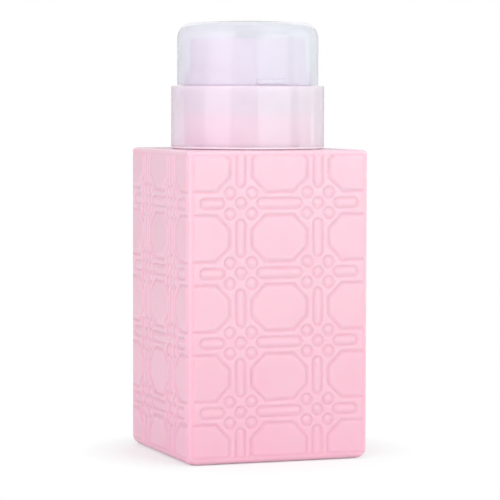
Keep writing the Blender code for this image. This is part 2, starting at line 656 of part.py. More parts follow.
def make_closure_shell(axis):
    inner = CAP_OUTER_RADIUS + SEAT_GAP
    sleeve = inner + SHELL_SLEEVE_WALL
    bore = SHELL_RADIUS - SHELL_WALL
    edge = (SHELL_RADIUS - SHELL_EDGE_RADIUS, SHELL_TOP_Z - SHELL_EDGE_RADIUS)
    profile = [(bore, SHELL_Z), (SHELL_RADIUS, SHELL_Z)]
    profile += arc(edge, SHELL_EDGE_RADIUS, 0, 90, FILLET_STEPS)
    profile += [(inner, SHELL_TOP_Z),
                (inner, SHELL_TOP_Z - SHELL_SLEEVE_LENGTH),
                (sleeve, SHELL_TOP_Z - SHELL_SLEEVE_LENGTH),
                (sleeve, SHELL_TOP_Z - SHELL_WALL),
                (bore, SHELL_TOP_Z - SHELL_WALL)]
    finish = material("shell_translucent_pp", (0.90, 0.78, 0.88), 0.28)
    shell = turned("closure_shell", profile, LARGE_SEGMENTS, finish, axis)
    for side, name in ((1, "lug_tool_right"), (-1, "lug_tool_left")):
        far = HINGE_LUG_X + HINGE_LUG_THICKNESS
        lug = prism(name, lug_outline(), 'YZ', side * HINGE_LUG_X, side * far, axis=axis)
        combine(shell, lug, 'UNION')
    reach = HINGE_LUG_X + HINGE_LUG_THICKNESS + CUT_OVERRUN
    centre = (0, HINGE_Y, HINGE_Z)
    hole = rod("lug_hole_tool", HINGE_BORE_RADIUS, centre, 'X', reach, PIN_SEGMENTS, axis=axis)
    combine(shell, hole, 'DIFFERENCE')


def make_hinge_pin(axis):
    finish = material("pin_stainless_steel", (0.60, 0.60, 0.62), 0.25, metallic=1.0)
    half = HINGE_LUG_X + HINGE_LUG_THICKNESS
    rod("hinge_pin", HINGE_PIN_RADIUS, (0, HINGE_Y, HINGE_Z), 'X', half, PIN_SEGMENTS, finish, axis)


# Dome lid

def crown(radius, top, rise):
    """Height of the gently domed roof at a radius."""
    flat = LID_RADIUS - LID_SHOULDER_RADIUS
    return top - rise * (radius / flat) ** 2


def lid_profile():
    flat = LID_RADIUS - LID_SHOULDER_RADIUS
    shoulder = (flat, LID_TOP_Z - LID_CROWN - LID_SHOULDER_RADIUS)
    outer = [(flat * step / CROWN_STEPS, crown(flat * step / CROWN_STEPS, LID_TOP_Z, LID_CROWN))
             for step in range(CROWN_STEPS)]
    outer += arc(shoulder, LID_SHOULDER_RADIUS, 90, 0, SHOULDER_STEPS)
    roof = LID_TOP_Z - LID_ROOF_THICKNESS
    holder_bore = SEAL_HOLDER_RADIUS - SEAL_HOLDER_WALL
    shelf_bore = holder_bore - SEAL_SHELF_WIDTH
    shelf_z = SEAL_Z + SEAL_THICKNESS + SEAT_GAP
    inner = [(LID_RADIUS, LID_Z), (LID_RADIUS - LID_WALL, LID_Z)]
    inner += arc(shoulder, LID_SHOULDER_RADIUS - LID_WALL, 0, 90, FILLET_STEPS)
    inner += [(SEAL_HOLDER_RADIUS, crown(SEAL_HOLDER_RADIUS, roof, LID_CROWN)),
              (SEAL_HOLDER_RADIUS, SEAL_Z),
              (holder_bore, SEAL_Z),
              (holder_bore, shelf_z),
              (shelf_bore, shelf_z),
              (shelf_bore, crown(shelf_bore, roof, LID_CROWN)),
              (0, roof)]
    return outer + inner


def tongue_outline():
    """Side view of the lid's tongue: a barrel joined to the lid's wall."""
    wall_y = LID_RADIUS - LID_WALL / 2
    barrel = arc((HINGE_Y, HINGE_Z), HINGE_BARREL_RADIUS, -90, 90, 2 * FILLET_STEPS)
    return barrel + [(wall_y, HINGE_Z + HINGE_BARREL_RADIUS), (wall_y, HINGE_Z - HINGE_BARREL_RADIUS)]


def thumb_tab_outline():
    """Plan of the thumb tab at the front of the lid, with rounded outer corners."""
    front = -LID_RADIUS - THUMB_TAB_REACH
    side = THUMB_TAB_HALF_WIDTH - THUMB_TAB_CORNER_RADIUS
    corner_y = front + THUMB_TAB_CORNER_RADIUS
    root = -LID_RADIUS + LID_WALL / 2 + THUMB_TAB_HALF_WIDTH ** 2 / (2 * LID_RADIUS)
    outline = [(-THUMB_TAB_HALF_WIDTH, root)]
    outline += arc((-side, corner_y), THUMB_TAB_CORNER_RADIUS, 180, 270, FILLET_STEPS)
    outline += arc((side, corner_y), THUMB_TAB_CORNER_RADIUS, 270, 360, FILLET_STEPS)
    return outline + [(THUMB_TAB_HALF_WIDTH, root)]


def make_lid(axis):
    finish = material("lid_clear_frost_pp", (0.82, 0.78, 0.88), 0.22)
    lid = turned("flip_lid", lid_profile(), LARGE_SEGMENTS, finish, axis, closed=False)
    half = HINGE_TONGUE_HALF_WIDTH
    tongue = prism("tongue_tool", tongue_outline(), 'YZ', -half, half, axis=axis)
    combine(lid, tongue, 'UNION')
    tab_z = LID_Z + SEAT_GAP / 2
    tab = prism("tab_tool", thumb_tab_outline(), 'XY', tab_z, tab_z + THUMB_TAB_THICKNESS, axis=axis)
    combine(lid, tab, 'UNION')
    reach = half + CUT_OVERRUN
    centre = (0, HINGE_Y, HINGE_Z)
    hole = rod("tongue_hole_tool", HINGE_BORE_RADIUS, centre, 'X', reach, PIN_SEGMENTS, axis=axis)
    combine(lid, hole, 'DIFFERENCE')


def make_lid_seal(axis):
    radius = SEAL_HOLDER_RADIUS - SEAL_HOLDER_WALL - SEAT_GAP
    top = SEAL_Z + SEAL_THICKNESS
    profile = [(0, SEAL_Z), (radius, SEAL_Z), (radius, top), (0, top)]
    finish = material("seal_silicone", (0.85, 0.85, 0.86), 0.6)
    turned("lid_seal", profile, SMALL_SEGMENTS, finish, axis, closed=False)


# Dish and moving pump parts

def make_press_dish(axis):
    wall = DISH_RADIUS - DISH_WALL
    hub_bore = STEM_RADIUS + SEAT_GAP
    hub = hub_bore + DISH_HUB_WALL
    floor_edge = (wall - DISH_BOWL_FILLET, DISH_FLOOR_Z + DISH_BOWL_FILLET)
    under_reach = DISH_BOWL_FILLET + DISH_WALL
    under_start = -math.degrees(math.acos(DISH_BOWL_FILLET / under_reach))
    rim_z = DISH_RIM_Z - DISH_RIM_ROUND
    profile = [(DISH_RADIUS, DISH_SKIRT_Z)]
    profile += arc((DISH_RADIUS - DISH_RIM_ROUND, rim_z), DISH_RIM_ROUND, 0, 90, FILLET_STEPS)
    profile += arc((wall + DISH_RIM_ROUND, rim_z), DISH_RIM_ROUND, 90, 180, FILLET_STEPS)
    profile += arc(floor_edge, DISH_BOWL_FILLET, 0, -90, FILLET_STEPS)
    profile += [(hub, DISH_FLOOR_Z - DISH_BOWL_FALL),
                (hub, HUB_TOP_Z),
                (hub_bore, HUB_TOP_Z),
                (hub_bore, DISH_FLOOR_Z - DISH_WALL - DISH_SOCKET_DEPTH),
                (hub, DISH_FLOOR_Z - DISH_WALL - DISH_SOCKET_DEPTH),
                (hub, DISH_FLOOR_Z - DISH_BOWL_FALL - DISH_WALL)]
    profile += arc(floor_edge, under_reach, -90, under_start, FILLET_STEPS)
    profile += [(wall, DISH_SKIRT_Z)]
    finish = material("dish_pp", (0.86, 0.72, 0.84), 0.35)
    turned("press_dish", profile, LARGE_SEGMENTS, finish, axis)


def make_outlet_cap(axis):
    spigot = STEM_BORE_RADIUS - SEAT_GAP
    rim = OUTLET_Z + OUTLET_CAP_THICKNESS
    profile = [(OUTLET_BORE_RADIUS, OUTLET_Z - OUTLET_SPIGOT_LENGTH),
               (spigot, OUTLET_Z - OUTLET_SPIGOT_LENGTH),
               (spigot, OUTLET_Z),
               (STEM_RADIUS, OUTLET_Z),
               (STEM_RADIUS, rim),
               ((STEM_RADIUS + OUTLET_BORE_RADIUS) / 2, rim + OUTLET_CAP_CROWN * OUTLET_SHOULDER_SHARE),
               (OUTLET_BORE_RADIUS, rim + OUTLET_CAP_CROWN)]
    turned("outlet_cap", profile, SMALL_SEGMENTS, material("outlet_pp", (0.88, 0.84, 0.90), 0.4), axis)


def ball_height_on(seat_radius, seat_z, radius):
    """Centre of a ball that rests in a round seat, with the seat gap all round."""
    return seat_z + math.sqrt((radius + SEAT_GAP) ** 2 - seat_radius ** 2)


def make_stem(axis):
    ball_z = ball_height_on(FOOT_BORE_RADIUS + FOOT_SEAT_WIDTH, FOOT_TOP_Z, UPPER_BALL_RADIUS)
    stop_z = ball_z + UPPER_BALL_RADIUS + BALL_LIFT + SEAT_GAP
    ease = STEM_BORE_RADIUS - STEM_THROAT_RADIUS
    top_bore_z = STEM_TOP_Z - OUTLET_SPIGOT_LENGTH
    profile = [(STEM_RADIUS, PISTON_Z),
               (STEM_RADIUS, STEM_TOP_Z),
               (STEM_BORE_RADIUS, STEM_TOP_Z),
               (STEM_BORE_RADIUS, top_bore_z),
               (STEM_THROAT_RADIUS, top_bore_z - ease),
               (STEM_THROAT_RADIUS, stop_z),
               (STEM_BORE_RADIUS, stop_z),
               (STEM_BORE_RADIUS, PISTON_Z)]
    turned("pump_stem", profile, SMALL_SEGMENTS, material("stem_pp", (0.90, 0.88, 0.92), 0.4), axis)
    return ball_z


def make_piston(axis):
    reach = CHAMBER_RADIUS - SEAT_GAP
    bore = STEM_RADIUS + SEAT_GAP
    waist = reach - PISTON_WAIST
    web = (bore + waist) / 2
    lip = reach - PISTON_LIP_WIDTH
    low_web = PISTON_Z + PISTON_LIP_HEIGHT / 2
    high_web = PISTON_TOP_Z - PISTON_LIP_HEIGHT / 2
    profile = [(reach, PISTON_Z),
               (reach, PISTON_Z + PISTON_LIP_EDGE),
               (waist, PISTON_Z + PISTON_LIP_HEIGHT),
               (waist, PISTON_TOP_Z - PISTON_LIP_HEIGHT),
               (reach, PISTON_TOP_Z - PISTON_LIP_EDGE),
               (reach, PISTON_TOP_Z),
               (lip, PISTON_TOP_Z),
               (web, high_web),
               (bore, high_web),
               (bore, low_web),
               (web, low_web),
               (lip, PISTON_Z)]
    turned("piston", profile, SMALL_SEGMENTS, material("piston_ldpe", (0.90, 0.90, 0.92), 0.5), axis)


def make_piston_foot(axis):
    spigot = STEM_BORE_RADIUS - SEAT_GAP
    seat = FOOT_BORE_RADIUS + FOOT_SEAT_WIDTH
    profile = [(FOOT_BORE_RADIUS, FOOT_Z),
               (FOOT_FLANGE_RADIUS, FOOT_Z),
               (FOOT_FLANGE_RADIUS, FOOT_FLANGE_TOP_Z),
               (spigot, FOOT_FLANGE_TOP_Z),
               (spigot, FOOT_TOP_Z),
               (seat, FOOT_TOP_Z),
               (FOOT_BORE_RADIUS, FOOT_TOP_Z - FOOT_SEAT_WIDTH)]
    turned("piston_foot", profile, SMALL_SEGMENTS, material("foot_pp", (0.88, 0.88, 0.90), 0.45), axis)


# Pump parts that stay with the insert

def make_neck_gasket(axis):
    top = GASKET_Z + GASKET_THICKNESS
    profile = [(GASKET_INNER_RADIUS, GASKET_Z), (FLANGE_RADIUS, GASKET_Z),
               (FLANGE_RADIUS, top), (GASKET_INNER_RADIUS, top)]
    turned("neck_gasket", profile, CAP_SEGMENTS, material("gasket_pe_foam", (0.92, 0.92, 0.92), 0.8), axis)


def make_cylinder(axis):
    outer = CHAMBER_RADIUS + CHAMBER_WALL
    socket_bore = TUBE_RADIUS + SEAT_GAP
    socket = socket_bore + SOCKET_WALL
    profile = [(CHAMBER_RADIUS, FLANGE_TOP_Z),
               (FLANGE_RADIUS, FLANGE_TOP_Z),
               (FLANGE_RADIUS, FLANGE_Z),
               (outer + FLANGE_CONE_RUN, FLANGE_Z),
               (outer, FLANGE_Z - FLANGE_CONE_HEIGHT),
               (outer, CHAMBER_FLOOR_Z),
               (BALL_WELL_RADIUS + CHAMBER_WALL, CHAMBER_FLOOR_Z - CHAMBER_CONE_HEIGHT),
               (socket, SOCKET_TOP_Z),
               (socket, SOCKET_Z),
               (socket_bore, SOCKET_Z),
               (socket_bore, SOCKET_TOP_Z),
               (INLET_RADIUS, SOCKET_TOP_Z),
               (INLET_RADIUS, INLET_Z),
               (BALL_WELL_RADIUS, BALL_SEAT_Z),
               (BALL_WELL_RADIUS, CHAMBER_FLOOR_Z),
               (CHAMBER_RADIUS, CHAMBER_FLOOR_Z)]
    turned("pump_cylinder", profile, SMALL_SEGMENTS, material("cylinder_pp", (0.90, 0.90, 0.93), 0.4), axis)


def make_stem_guide(axis):
    bore = STEM_RADIUS + RUNNING_GAP
    hub = bore + GUIDE_HUB_WALL
    sleeve = CHAMBER_RADIUS - SEAT_GAP
    profile = [(bore, GUIDE_SLEEVE_Z),
               (sleeve, GUIDE_SLEEVE_Z),
               (sleeve, DECK_Z),
               (GUIDE_FLANGE_RADIUS, DECK_Z),
               (GUIDE_FLANGE_RADIUS, DECK_TOP_Z),
               (hub, DECK_TOP_Z),
               (hub, DECK_TOP_Z + GUIDE_HUB_RISE),
               (bore, DECK_TOP_Z + GUIDE_HUB_RISE)]
    turned("stem_guide", profile, SMALL_SEGMENTS, material("guide_pp", (0.86, 0.84, 0.90), 0.4), axis)


def make_stem_seal(axis):
    bore = STEM_RADIUS + RUNNING_GAP
    reach = CHAMBER_RADIUS - SEAT_GAP
    top = STEM_SEAL_Z + STEM_SEAL_THICKNESS
    profile = [(bore, STEM_SEAL_Z), (reach, STEM_SEAL_Z), (reach, top), (bore, top)]
    finish = material("stem_seal_rubber", (0.10, 0.10, 0.11), 0.7)
    turned("stem_seal", profile, SMALL_SEGMENTS, finish, axis)


def make_ball_cage(axis):
    reach = CHAMBER_RADIUS - SEAT_GAP
    ball_top = lower_ball_z() + LOWER_BALL_RADIUS
    boss_z = ball_top + BALL_LIFT + SEAT_GAP
    profile = [(0, boss_z),
               (CAGE_BOSS_RADIUS, boss_z),
               (CAGE_BOSS_RADIUS, CAGE_Z),
               (reach, CAGE_Z),
               (reach, CAGE_TOP_Z),
               (0, CAGE_TOP_Z)]
    finish = material("cage_pp", (0.88, 0.88, 0.90), 0.45)
    cage = turned("ball_cage", profile, SMALL_SEGMENTS, finish, axis, closed=False)
    half = CAGE_THICKNESS / 2 + CUT_OVERRUN
    middle = CAGE_Z + CAGE_THICKNESS / 2
    for index in range(CAGE_HOLE_COUNT):
        angle = 2 * math.pi * index / CAGE_HOLE_COUNT
        centre = (CAGE_HOLE_CIRCLE * math.cos(angle), CAGE_HOLE_CIRCLE * math.sin(angle), middle)
        name = f"cage_hole_tool_{index + 1}"
        hole = rod(name, CAGE_HOLE_RADIUS, centre, 'Z', half, PIN_SEGMENTS, axis=axis)
        combine(cage, hole, 'DIFFERENCE')


def lower_ball_z():
    """The lower ball rests in a 45 degree cone; its centre is root two radii above the cone's tip."""
    cone_tip = INLET_Z - INLET_RADIUS
    return cone_tip + math.sqrt(2) * (LOWER_BALL_RADIUS + SEAT_GAP)


def make_dip_tube(axis):
    top = SOCKET_TOP_Z - SEAT_GAP
    profile = [(TUBE_BORE_RADIUS, TUBE_END_Z), (TUBE_RADIUS, TUBE_END_Z),
               (TUBE_RADIUS, top), (TUBE_BORE_RADIUS, top)]
    tube = turned("dip_tube", profile, SMALL_SEGMENTS, material("tube_pe", (0.90, 0.88, 0.92), 0.45), axis)
    notch_foot = TUBE_END_Z - CUT_OVERRUN
    spread = TUBE_RADIUS * (TUBE_NOTCH_HEIGHT + CUT_OVERRUN) / TUBE_NOTCH_HEIGHT
    outline = [(-spread, notch_foot), (spread, notch_foot), (0, TUBE_END_Z + TUBE_NOTCH_HEIGHT)]
    reach = TUBE_RADIUS + CUT_OVERRUN
    combine(tube, prism("notch_tool", outline, 'YZ', -reach, reach, axis=axis), 'DIFFERENCE')


def spring_points():
    """A helix with a close turn at each end and even turns between, as centre points of the wire."""
    low = CAGE_TOP_Z + SEAT_GAP + SPRING_WIRE_RADIUS
    high = FOOT_Z - SEAT_GAP - SPRING_WIRE_RADIUS
    free_turns = SPRING_TURNS - 2 * SPRING_END_TURNS
    free_pitch = (high - low - 2 * SPRING_END_TURNS * SPRING_END_PITCH) / free_turns
    points = []
    for step in range(SPRING_TURNS * SPRING_POINTS_PER_TURN + 1):
        turns = step / SPRING_POINTS_PER_TURN
        close = min(turns, SPRING_END_TURNS) + max(turns - SPRING_END_TURNS - free_turns, 0)
        open_turns = min(max(turns - SPRING_END_TURNS, 0), free_turns)
        angle = 2 * math.pi * turns
        height = low + close * SPRING_END_PITCH + open_turns * free_pitch
        points.append(Vector((SPRING_RADIUS * math.cos(angle), SPRING_RADIUS * math.sin(angle), height)))
    return points


def least_spring_gap(points):
    """Least clear space between turns, measured between points over half a turn apart."""
    apart = SPRING_POINTS_PER_TURN // 2 + 1
    spaces = []
    for index, here in enumerate(points):
        spaces += [(here - there).length for there in points[index + apart:]]
    return min(spaces) - 2 * SPRING_WIRE_RADIUS


def make_return_spring(axis):
    points = spring_points()
    wire = bpy.data.curves.new("return_spring", 'CURVE')
    wire.dimensions = '3D'
    wire.bevel_depth = SPRING_WIRE_RADIUS
    wire.bevel_resolution = 1
    wire.use_fill_caps = True
    path = wire.splines.new('POLY')
    path.points.add(len(points) - 1)
    for place, point in zip(path.points, points):
        place.co = (*point, 1)
    wire.materials.append(material("spring_stainless_steel", (0.62, 0.62, 0.64), 0.3, metallic=1.0))
    spring = bpy.data.objects.new("return_spring", wire)
    bpy.context.scene.collection.objects.link(spring)
    spring.parent = axis
    print("least gap between spring turns, mm:", round(least_spring_gap(points) / MM, 2))


def main():
    clear_scene()
    make_bottle()
    lift_axis = empty_at("pump_lift_axis", (0, 0, 0))
    turn_axis = empty_at("closure_turn_axis", (0, 0, 0))
    press_axis = empty_at("dish_press_axis", (0, 0, 0))
    hinge_axis = empty_at("lid_hinge_axis", (0, HINGE_Y, HINGE_Z))
    press_axis.parent = lift_axis
    turn_axis.parent = lift_axis
    hinge_axis.parent = turn_axis
    make_neck_gasket(lift_axis)
    make_cylinder(lift_axis)
    make_stem_guide(lift_axis)
    make_stem_seal(lift_axis)
    make_ball_cage(lift_axis)
    make_dip_tube(lift_axis)
    make_return_spring(lift_axis)
    make_threaded_cap(turn_axis)
    make_closure_shell(turn_axis)
    make_hinge_pin(hinge_axis)
    make_lid(hinge_axis)
    make_lid_seal(hinge_axis)
    make_press_dish(press_axis)
    make_outlet_cap(press_axis)
    upper_ball_z = make_stem(press_axis)
    make_piston(press_axis)
    make_piston_foot(press_axis)
    steel = material("ball_stainless_steel", (0.66, 0.66, 0.68), 0.15, metallic=1.0)
    ball("upper_ball", UPPER_BALL_RADIUS, upper_ball_z, steel, press_axis)
    ball("lower_ball", LOWER_BALL_RADIUS, lower_ball_z(), steel, lift_axis)


main()
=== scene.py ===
# %% [markdown]
# # Push-down pump for nail polish remover
#
# The object is a square, frosted pink bottle with a lattice in low relief. A round
# screw closure with a clear dome lid holds a pump on its neck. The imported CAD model
# gives every place and every joint. This script gives the pieces their full shape and
# finish, and puts them in a small photo studio.

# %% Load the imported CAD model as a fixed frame
import json
import math

import bmesh
import bpy
import numpy as np
from mathutils import Matrix, Vector
from mathutils.geometry import delaunay_2d_cdt


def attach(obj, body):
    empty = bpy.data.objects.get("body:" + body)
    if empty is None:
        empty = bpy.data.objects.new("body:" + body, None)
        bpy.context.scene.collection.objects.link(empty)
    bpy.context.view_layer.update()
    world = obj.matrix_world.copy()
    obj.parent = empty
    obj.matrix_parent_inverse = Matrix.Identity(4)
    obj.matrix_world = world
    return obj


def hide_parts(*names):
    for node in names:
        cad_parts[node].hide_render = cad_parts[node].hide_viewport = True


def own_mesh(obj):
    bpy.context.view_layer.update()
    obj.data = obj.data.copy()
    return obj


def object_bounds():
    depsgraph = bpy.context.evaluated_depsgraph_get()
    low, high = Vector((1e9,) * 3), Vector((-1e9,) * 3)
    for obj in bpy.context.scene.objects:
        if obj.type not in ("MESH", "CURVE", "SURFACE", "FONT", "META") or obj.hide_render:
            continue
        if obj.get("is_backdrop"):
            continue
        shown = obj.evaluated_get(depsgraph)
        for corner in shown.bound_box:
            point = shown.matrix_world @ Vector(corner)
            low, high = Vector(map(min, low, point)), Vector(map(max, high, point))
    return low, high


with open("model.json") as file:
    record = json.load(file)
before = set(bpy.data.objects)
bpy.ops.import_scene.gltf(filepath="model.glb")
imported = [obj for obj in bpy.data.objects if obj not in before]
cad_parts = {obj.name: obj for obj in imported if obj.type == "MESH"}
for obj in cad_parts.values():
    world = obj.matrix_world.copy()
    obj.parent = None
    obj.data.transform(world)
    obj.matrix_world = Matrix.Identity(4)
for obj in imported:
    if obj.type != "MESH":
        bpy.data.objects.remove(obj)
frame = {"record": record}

CAD_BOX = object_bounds()

# %% [markdown]
# ## Units and small helpers
#
# Blender counts in metres. The sizes below are in millimetres, which are easier to
# read, and are scaled once, when a mesh is made. Colours are written as the hex values
# that a paint program shows, and one function makes them linear for the renderer.

# %% Helpers for colours, nodes and meshes
MM = 0.001
WELD = 0.001  # millimetres: points this near each other are one
SHARP_ANGLE = 35  # degrees: smooth shading stops at a sharper edge


def linear_colour(code):
    """An sRGB hex colour as linear red, green, blue and alpha."""
    parts = [int(code[i:i + 2], 16) / 255 for i in (1, 3, 5)]
    return tuple(part / 12.92 if part <= 0.04045 else ((part + 0.055) / 1.055) ** 2.4
                 for part in parts) + (1.0,)


def add_node(tree, kind, inputs=None, **settings):
    """Add a node. A socket, or a node's first output, is linked; another input is set."""
    node = tree.nodes.new(kind)
    for name, value in settings.items():
        setattr(node, name, value)
    for name, value in (inputs or {}).items():
        if isinstance(value, bpy.types.Node):
            value = value.outputs[0]
        if isinstance(value, bpy.types.NodeSocket):
            tree.links.new(value, node.inputs[name])
        else:
            node.inputs[name].default_value = value
    return node


def calculated(tree, operation, *values):
    return add_node(tree, 'ShaderNodeMath', dict(enumerate(values)), operation=operation)


def place_in_scene(name, data):
    """An object at the origin, unturned and unscaled; a mesh holds its own place."""
    made = bpy.data.objects.new(name, data)
    bpy.context.scene.collection.objects.link(made)
    return made


def opened(mesh):
    bm = bmesh.new()
    bm.from_mesh(mesh)
    return bm


def stored(bm, mesh):
    bm.to_mesh(mesh)
    bm.free()
    return mesh


def mesh_from(name, bm, smooth_angle=SHARP_ANGLE):
    """A mesh of a closed bmesh in millimetres, its seams welded and its faces outward."""
    bmesh.ops.remove_doubles(bm, verts=bm.verts, dist=WELD)
    bmesh.ops.recalc_face_normals(bm, faces=bm.faces)
    bmesh.ops.scale(bm, verts=bm.verts, vec=(MM, MM, MM))
    mesh = stored(bm, bpy.data.meshes.new(name))
    mesh.shade_smooth()
    mesh.set_sharp_from_angle(angle=math.radians(smooth_angle))
    return mesh


def settle(made):
    """Turn an object's modifiers into plain mesh and take them off."""
    bpy.context.view_layer.update()
    evaluated = made.evaluated_get(bpy.context.evaluated_depsgraph_get())
    mesh = bpy.data.meshes.new_from_object(evaluated)
    made.modifiers.clear()
    made.data = mesh
    mesh.name = made.name
    return made


def report(made):
    faces = sum(len(face.vertices) - 2 for face in made.data.polygons)
    size = [round(side / MM, 1) for side in made.dimensions]
    print(made.name, "triangles", faces, "size in mm", size)


# %% [markdown]
# ## Finishes
#
# Each material starts from what the real one is. The bottle is frosted PET: tinted
# right through, with a fine matt grain from the etched mould, so its highlights are
# broad and soft. The dome is clear polypropylene (PP), which is always a little milky.
# The closure below it is the same plastic with more haze, and the pump's inner
# mouldings are uncoloured PP and polyethylene (PE). All patterns are worked out on
# Object coordinates, in metres, so that they have the same real size on every piece.


# %% Start a material, map its values and finish it
def start_material(name):
    made = bpy.data.materials.new(name)
    made.use_nodes = True
    made.node_tree.nodes.clear()
    return made, made.node_tree


def noise(tree, size_mm, detail=2.0):
    """A noise pattern whose patches have a real size in millimetres."""
    place = add_node(tree, 'ShaderNodeTexCoord').outputs["Object"]
    inputs = {"Vector": place, "Scale": 1 / (size_mm * MM), "Detail": detail}
    return add_node(tree, 'ShaderNodeTexNoise', inputs)


def mapped(tree, value, start, end, low=0.0, high=1.0):
    """Map a value that runs from start to end onto the range from low to high."""
    spans = {"From Min": start, "From Max": end, "To Min": low, "To Max": high}
    return add_node(tree, 'ShaderNodeMapRange', {"Value": value, **spans})


def spread(tree, value, low, high):
    """Map a noise value to a range; noise stays mostly between 0.3 and 0.7."""
    return mapped(tree, value, 0.3, 0.7, low, high)


def bumped(tree, pattern, strength, depth_mm):
    return add_node(tree, 'ShaderNodeBump', {
        "Height": pattern, "Strength": strength, "Distance": depth_mm * MM})


def mixed_colour(tree, share, first, second):
    """A blend of two colours, which are the mix node's inputs 6 and 7 and its output 2."""
    mix = {"Factor": share, 6: first, 7: second}
    return add_node(tree, 'ShaderNodeMix', mix, data_type='RGBA').outputs[2]


def finished(made, inputs):
    shader = add_node(made.node_tree, 'ShaderNodeBsdfPrincipled', inputs)
    add_node(made.node_tree, 'ShaderNodeOutputMaterial', {"Surface": shader})
    return made


# %% Frosted PET for the bottle
# Blow-moulded. The colour turns deeper pink towards the foot, and the neck, which isn't
# blown out, is the thickest and deepest of all. The grooves get painted shade: a deeper
# pink by their depth, which the mesh holds as an attribute. The mould is etched, with
# a grain of about 0.25 mm, near the size of a pixel in the picture.
GROOVE_DEPTH = 0.34
GROOVE_PAINTED_SHADE = 0.14
WALL_TINT_TOP = 96
NECK_TINT_START, NECK_TINT_FULL = 86.4, 87.2


def frosted_pet():
    made, tree = start_material("frosted_pink_pet")
    place = add_node(tree, 'ShaderNodeTexCoord').outputs["Object"]
    height = add_node(tree, 'ShaderNodeSeparateXYZ', {"Vector": place}).outputs["Z"]
    share = mapped(tree, height, 0.0, WALL_TINT_TOP * MM)
    cloud = spread(tree, noise(tree, size_mm=22.0, detail=1.0), -0.06, 0.06)
    tint = add_node(tree, 'ShaderNodeValToRGB', {"Fac": calculated(tree, 'ADD', share, cloud)})
    stops = tint.color_ramp.elements
    stops.new(0.45)
    for stop, code in zip(stops, ("#EEBDCD", "#F2C8D4", "#F3CFDA")):
        stop.color = linear_colour(code)
    # Painted shade: the grooves are tinted a deeper pink by their depth.
    depth = add_node(tree, 'ShaderNodeAttribute', attribute_name="groove_depth").outputs["Fac"]
    painted_groove_shade = mapped(tree, depth, 0.0, GROOVE_DEPTH, high=GROOVE_PAINTED_SHADE)
    colour = mixed_colour(tree, painted_groove_shade, tint, linear_colour("#F29AB8"))
    in_neck = mapped(tree, height, NECK_TINT_START * MM, NECK_TINT_FULL * MM)
    colour = mixed_colour(tree, in_neck, colour, linear_colour("#F0A0BC"))
    grain = noise(tree, size_mm=0.25)
    return finished(made, {
        "Base Color": colour, "Normal": bumped(tree, grain, 0.05, 0.01), "IOR": 1.57,
        "Roughness": spread(tree, noise(tree, size_mm=3.0), 0.24, 0.27),
        "Specular IOR Level": 0.28, "Subsurface Weight": 0.75,
        "Subsurface Radius": (1.0, 0.5, 0.65), "Subsurface Scale": 1.8 * MM})


# %% Moulded polypropylene, from nearly clear to hazy, and the plain inner plastics
# PP has an IOR of 1.49. Its haze comes from crystals in the wall, which send part of
# the light back as a pale tint. Alpha stands for that share, and the outer skin of a
# wall carries it. The inner skin is nearly clear. Alpha weakens the gloss as well, so
# the specular level of a see-through plastic is raised to keep the real one's shine.
def moulded_plastic(name, colour, cover, roughness, gloss=0.5, ior=1.49, flow_mm=6.0):
    made, tree = start_material(name)
    paler = tuple(min(1.0, part * 1.03) for part in linear_colour(colour)[:3]) + (1.0,)
    flow = spread(tree, noise(tree, flow_mm), 0.0, 1.0)
    tint = mixed_colour(tree, flow, linear_colour(colour), paler)
    ripple = noise(tree, size_mm=2.5, detail=1.0)
    return finished(made, {
        "Base Color": tint, "Normal": bumped(tree, ripple, 0.08, 0.05), "IOR": ior,
        "Roughness": spread(tree, flow, roughness, roughness * 1.15),
        "Specular IOR Level": gloss, "Alpha": cover})


# %% Stainless steel for the pin, the balls and the spring
# Drawn or ground steel: a light grey metal with fine scratches, so its gloss varies.
def stainless_steel():
    made, tree = start_material("stainless_steel")
    scratches = noise(tree, size_mm=0.4, detail=4.0)
    return finished(made, {
        "Base Color": linear_colour("#C9C9CC"), "Metallic": 1.0,
        "Roughness": spread(tree, scratches, 0.16, 0.3),
        "Normal": bumped(tree, scratches, 0.1, 0.01)})


# %% The list of finishes
# Each row is a plastic's name, colour, cover and roughness, then its gloss, IOR and the
# size of its flow marks where they differ from the usual ones. The round screw cap is
# hazy; its pink is painted light from the neck behind it, and its top edge has painted
# lilac light from the dish above it.
PLASTICS = (
    ("clear_pp", "#EAF0F8", 0.52, 0.06, 0.52),
    ("clear_pp_inside", "#EEF0FA", 0.06, 0.06, 0.6),
    ("translucent_pp", "#FDF0FC", 0.62, 0.09, 0.68),
    ("translucent_pp_inside", "#FBE4F6", 0.02, 0.12, 0.75),
    ("hazy_cap_painted_pink_light", "#FFC6D7", 0.92, 0.3),
    ("hazy_cap_inside_painted_pink_light", "#FAC9DC", 0.02, 0.3),
    ("lilac_pp", "#F4DCEE", 1.0, 0.34),
    ("natural_pp", "#FEF6FE", 1.0, 0.36),
    ("natural_pe", "#F1F0F3", 1.0, 0.42, 0.5, 1.51),
    ("pe_foam", "#F4F4F4", 1.0, 0.85, 0.5, 1.51, 0.5),
    ("silicone", "#ECEDEF", 1.0, 0.5, 0.5, 1.41),
    ("black_rubber", "#1E1E20", 1.0, 0.7, 0.5, 1.52),
)
MATERIALS = {"frosted_pink_pet": frosted_pet(), "stainless_steel": stainless_steel()}
MATERIALS.update((row[0], moulded_plastic(*row)) for row in PLASTICS)
print("materials", sorted(MATERIALS))

# %% [markdown]
# ## The lattice on the bottle
#
# The bottle is blown into a mould whose four sides carry a pattern of tiles: wide
# octagons, level bars, upright posts and crosses of five round dots. Soft grooves run
# round each tile, so that straps seem to weave between them. Bump could fake this, but
# light catches real slopes much better, and the bottle's edges show them.
#
# All four sides repeat one small strip: half a side wide and half a row high. So only
# that strip is drawn, flat, with lines where the surface bends. It starts at the middle
# of the side and of an octagon, and everything else comes from repeating it.

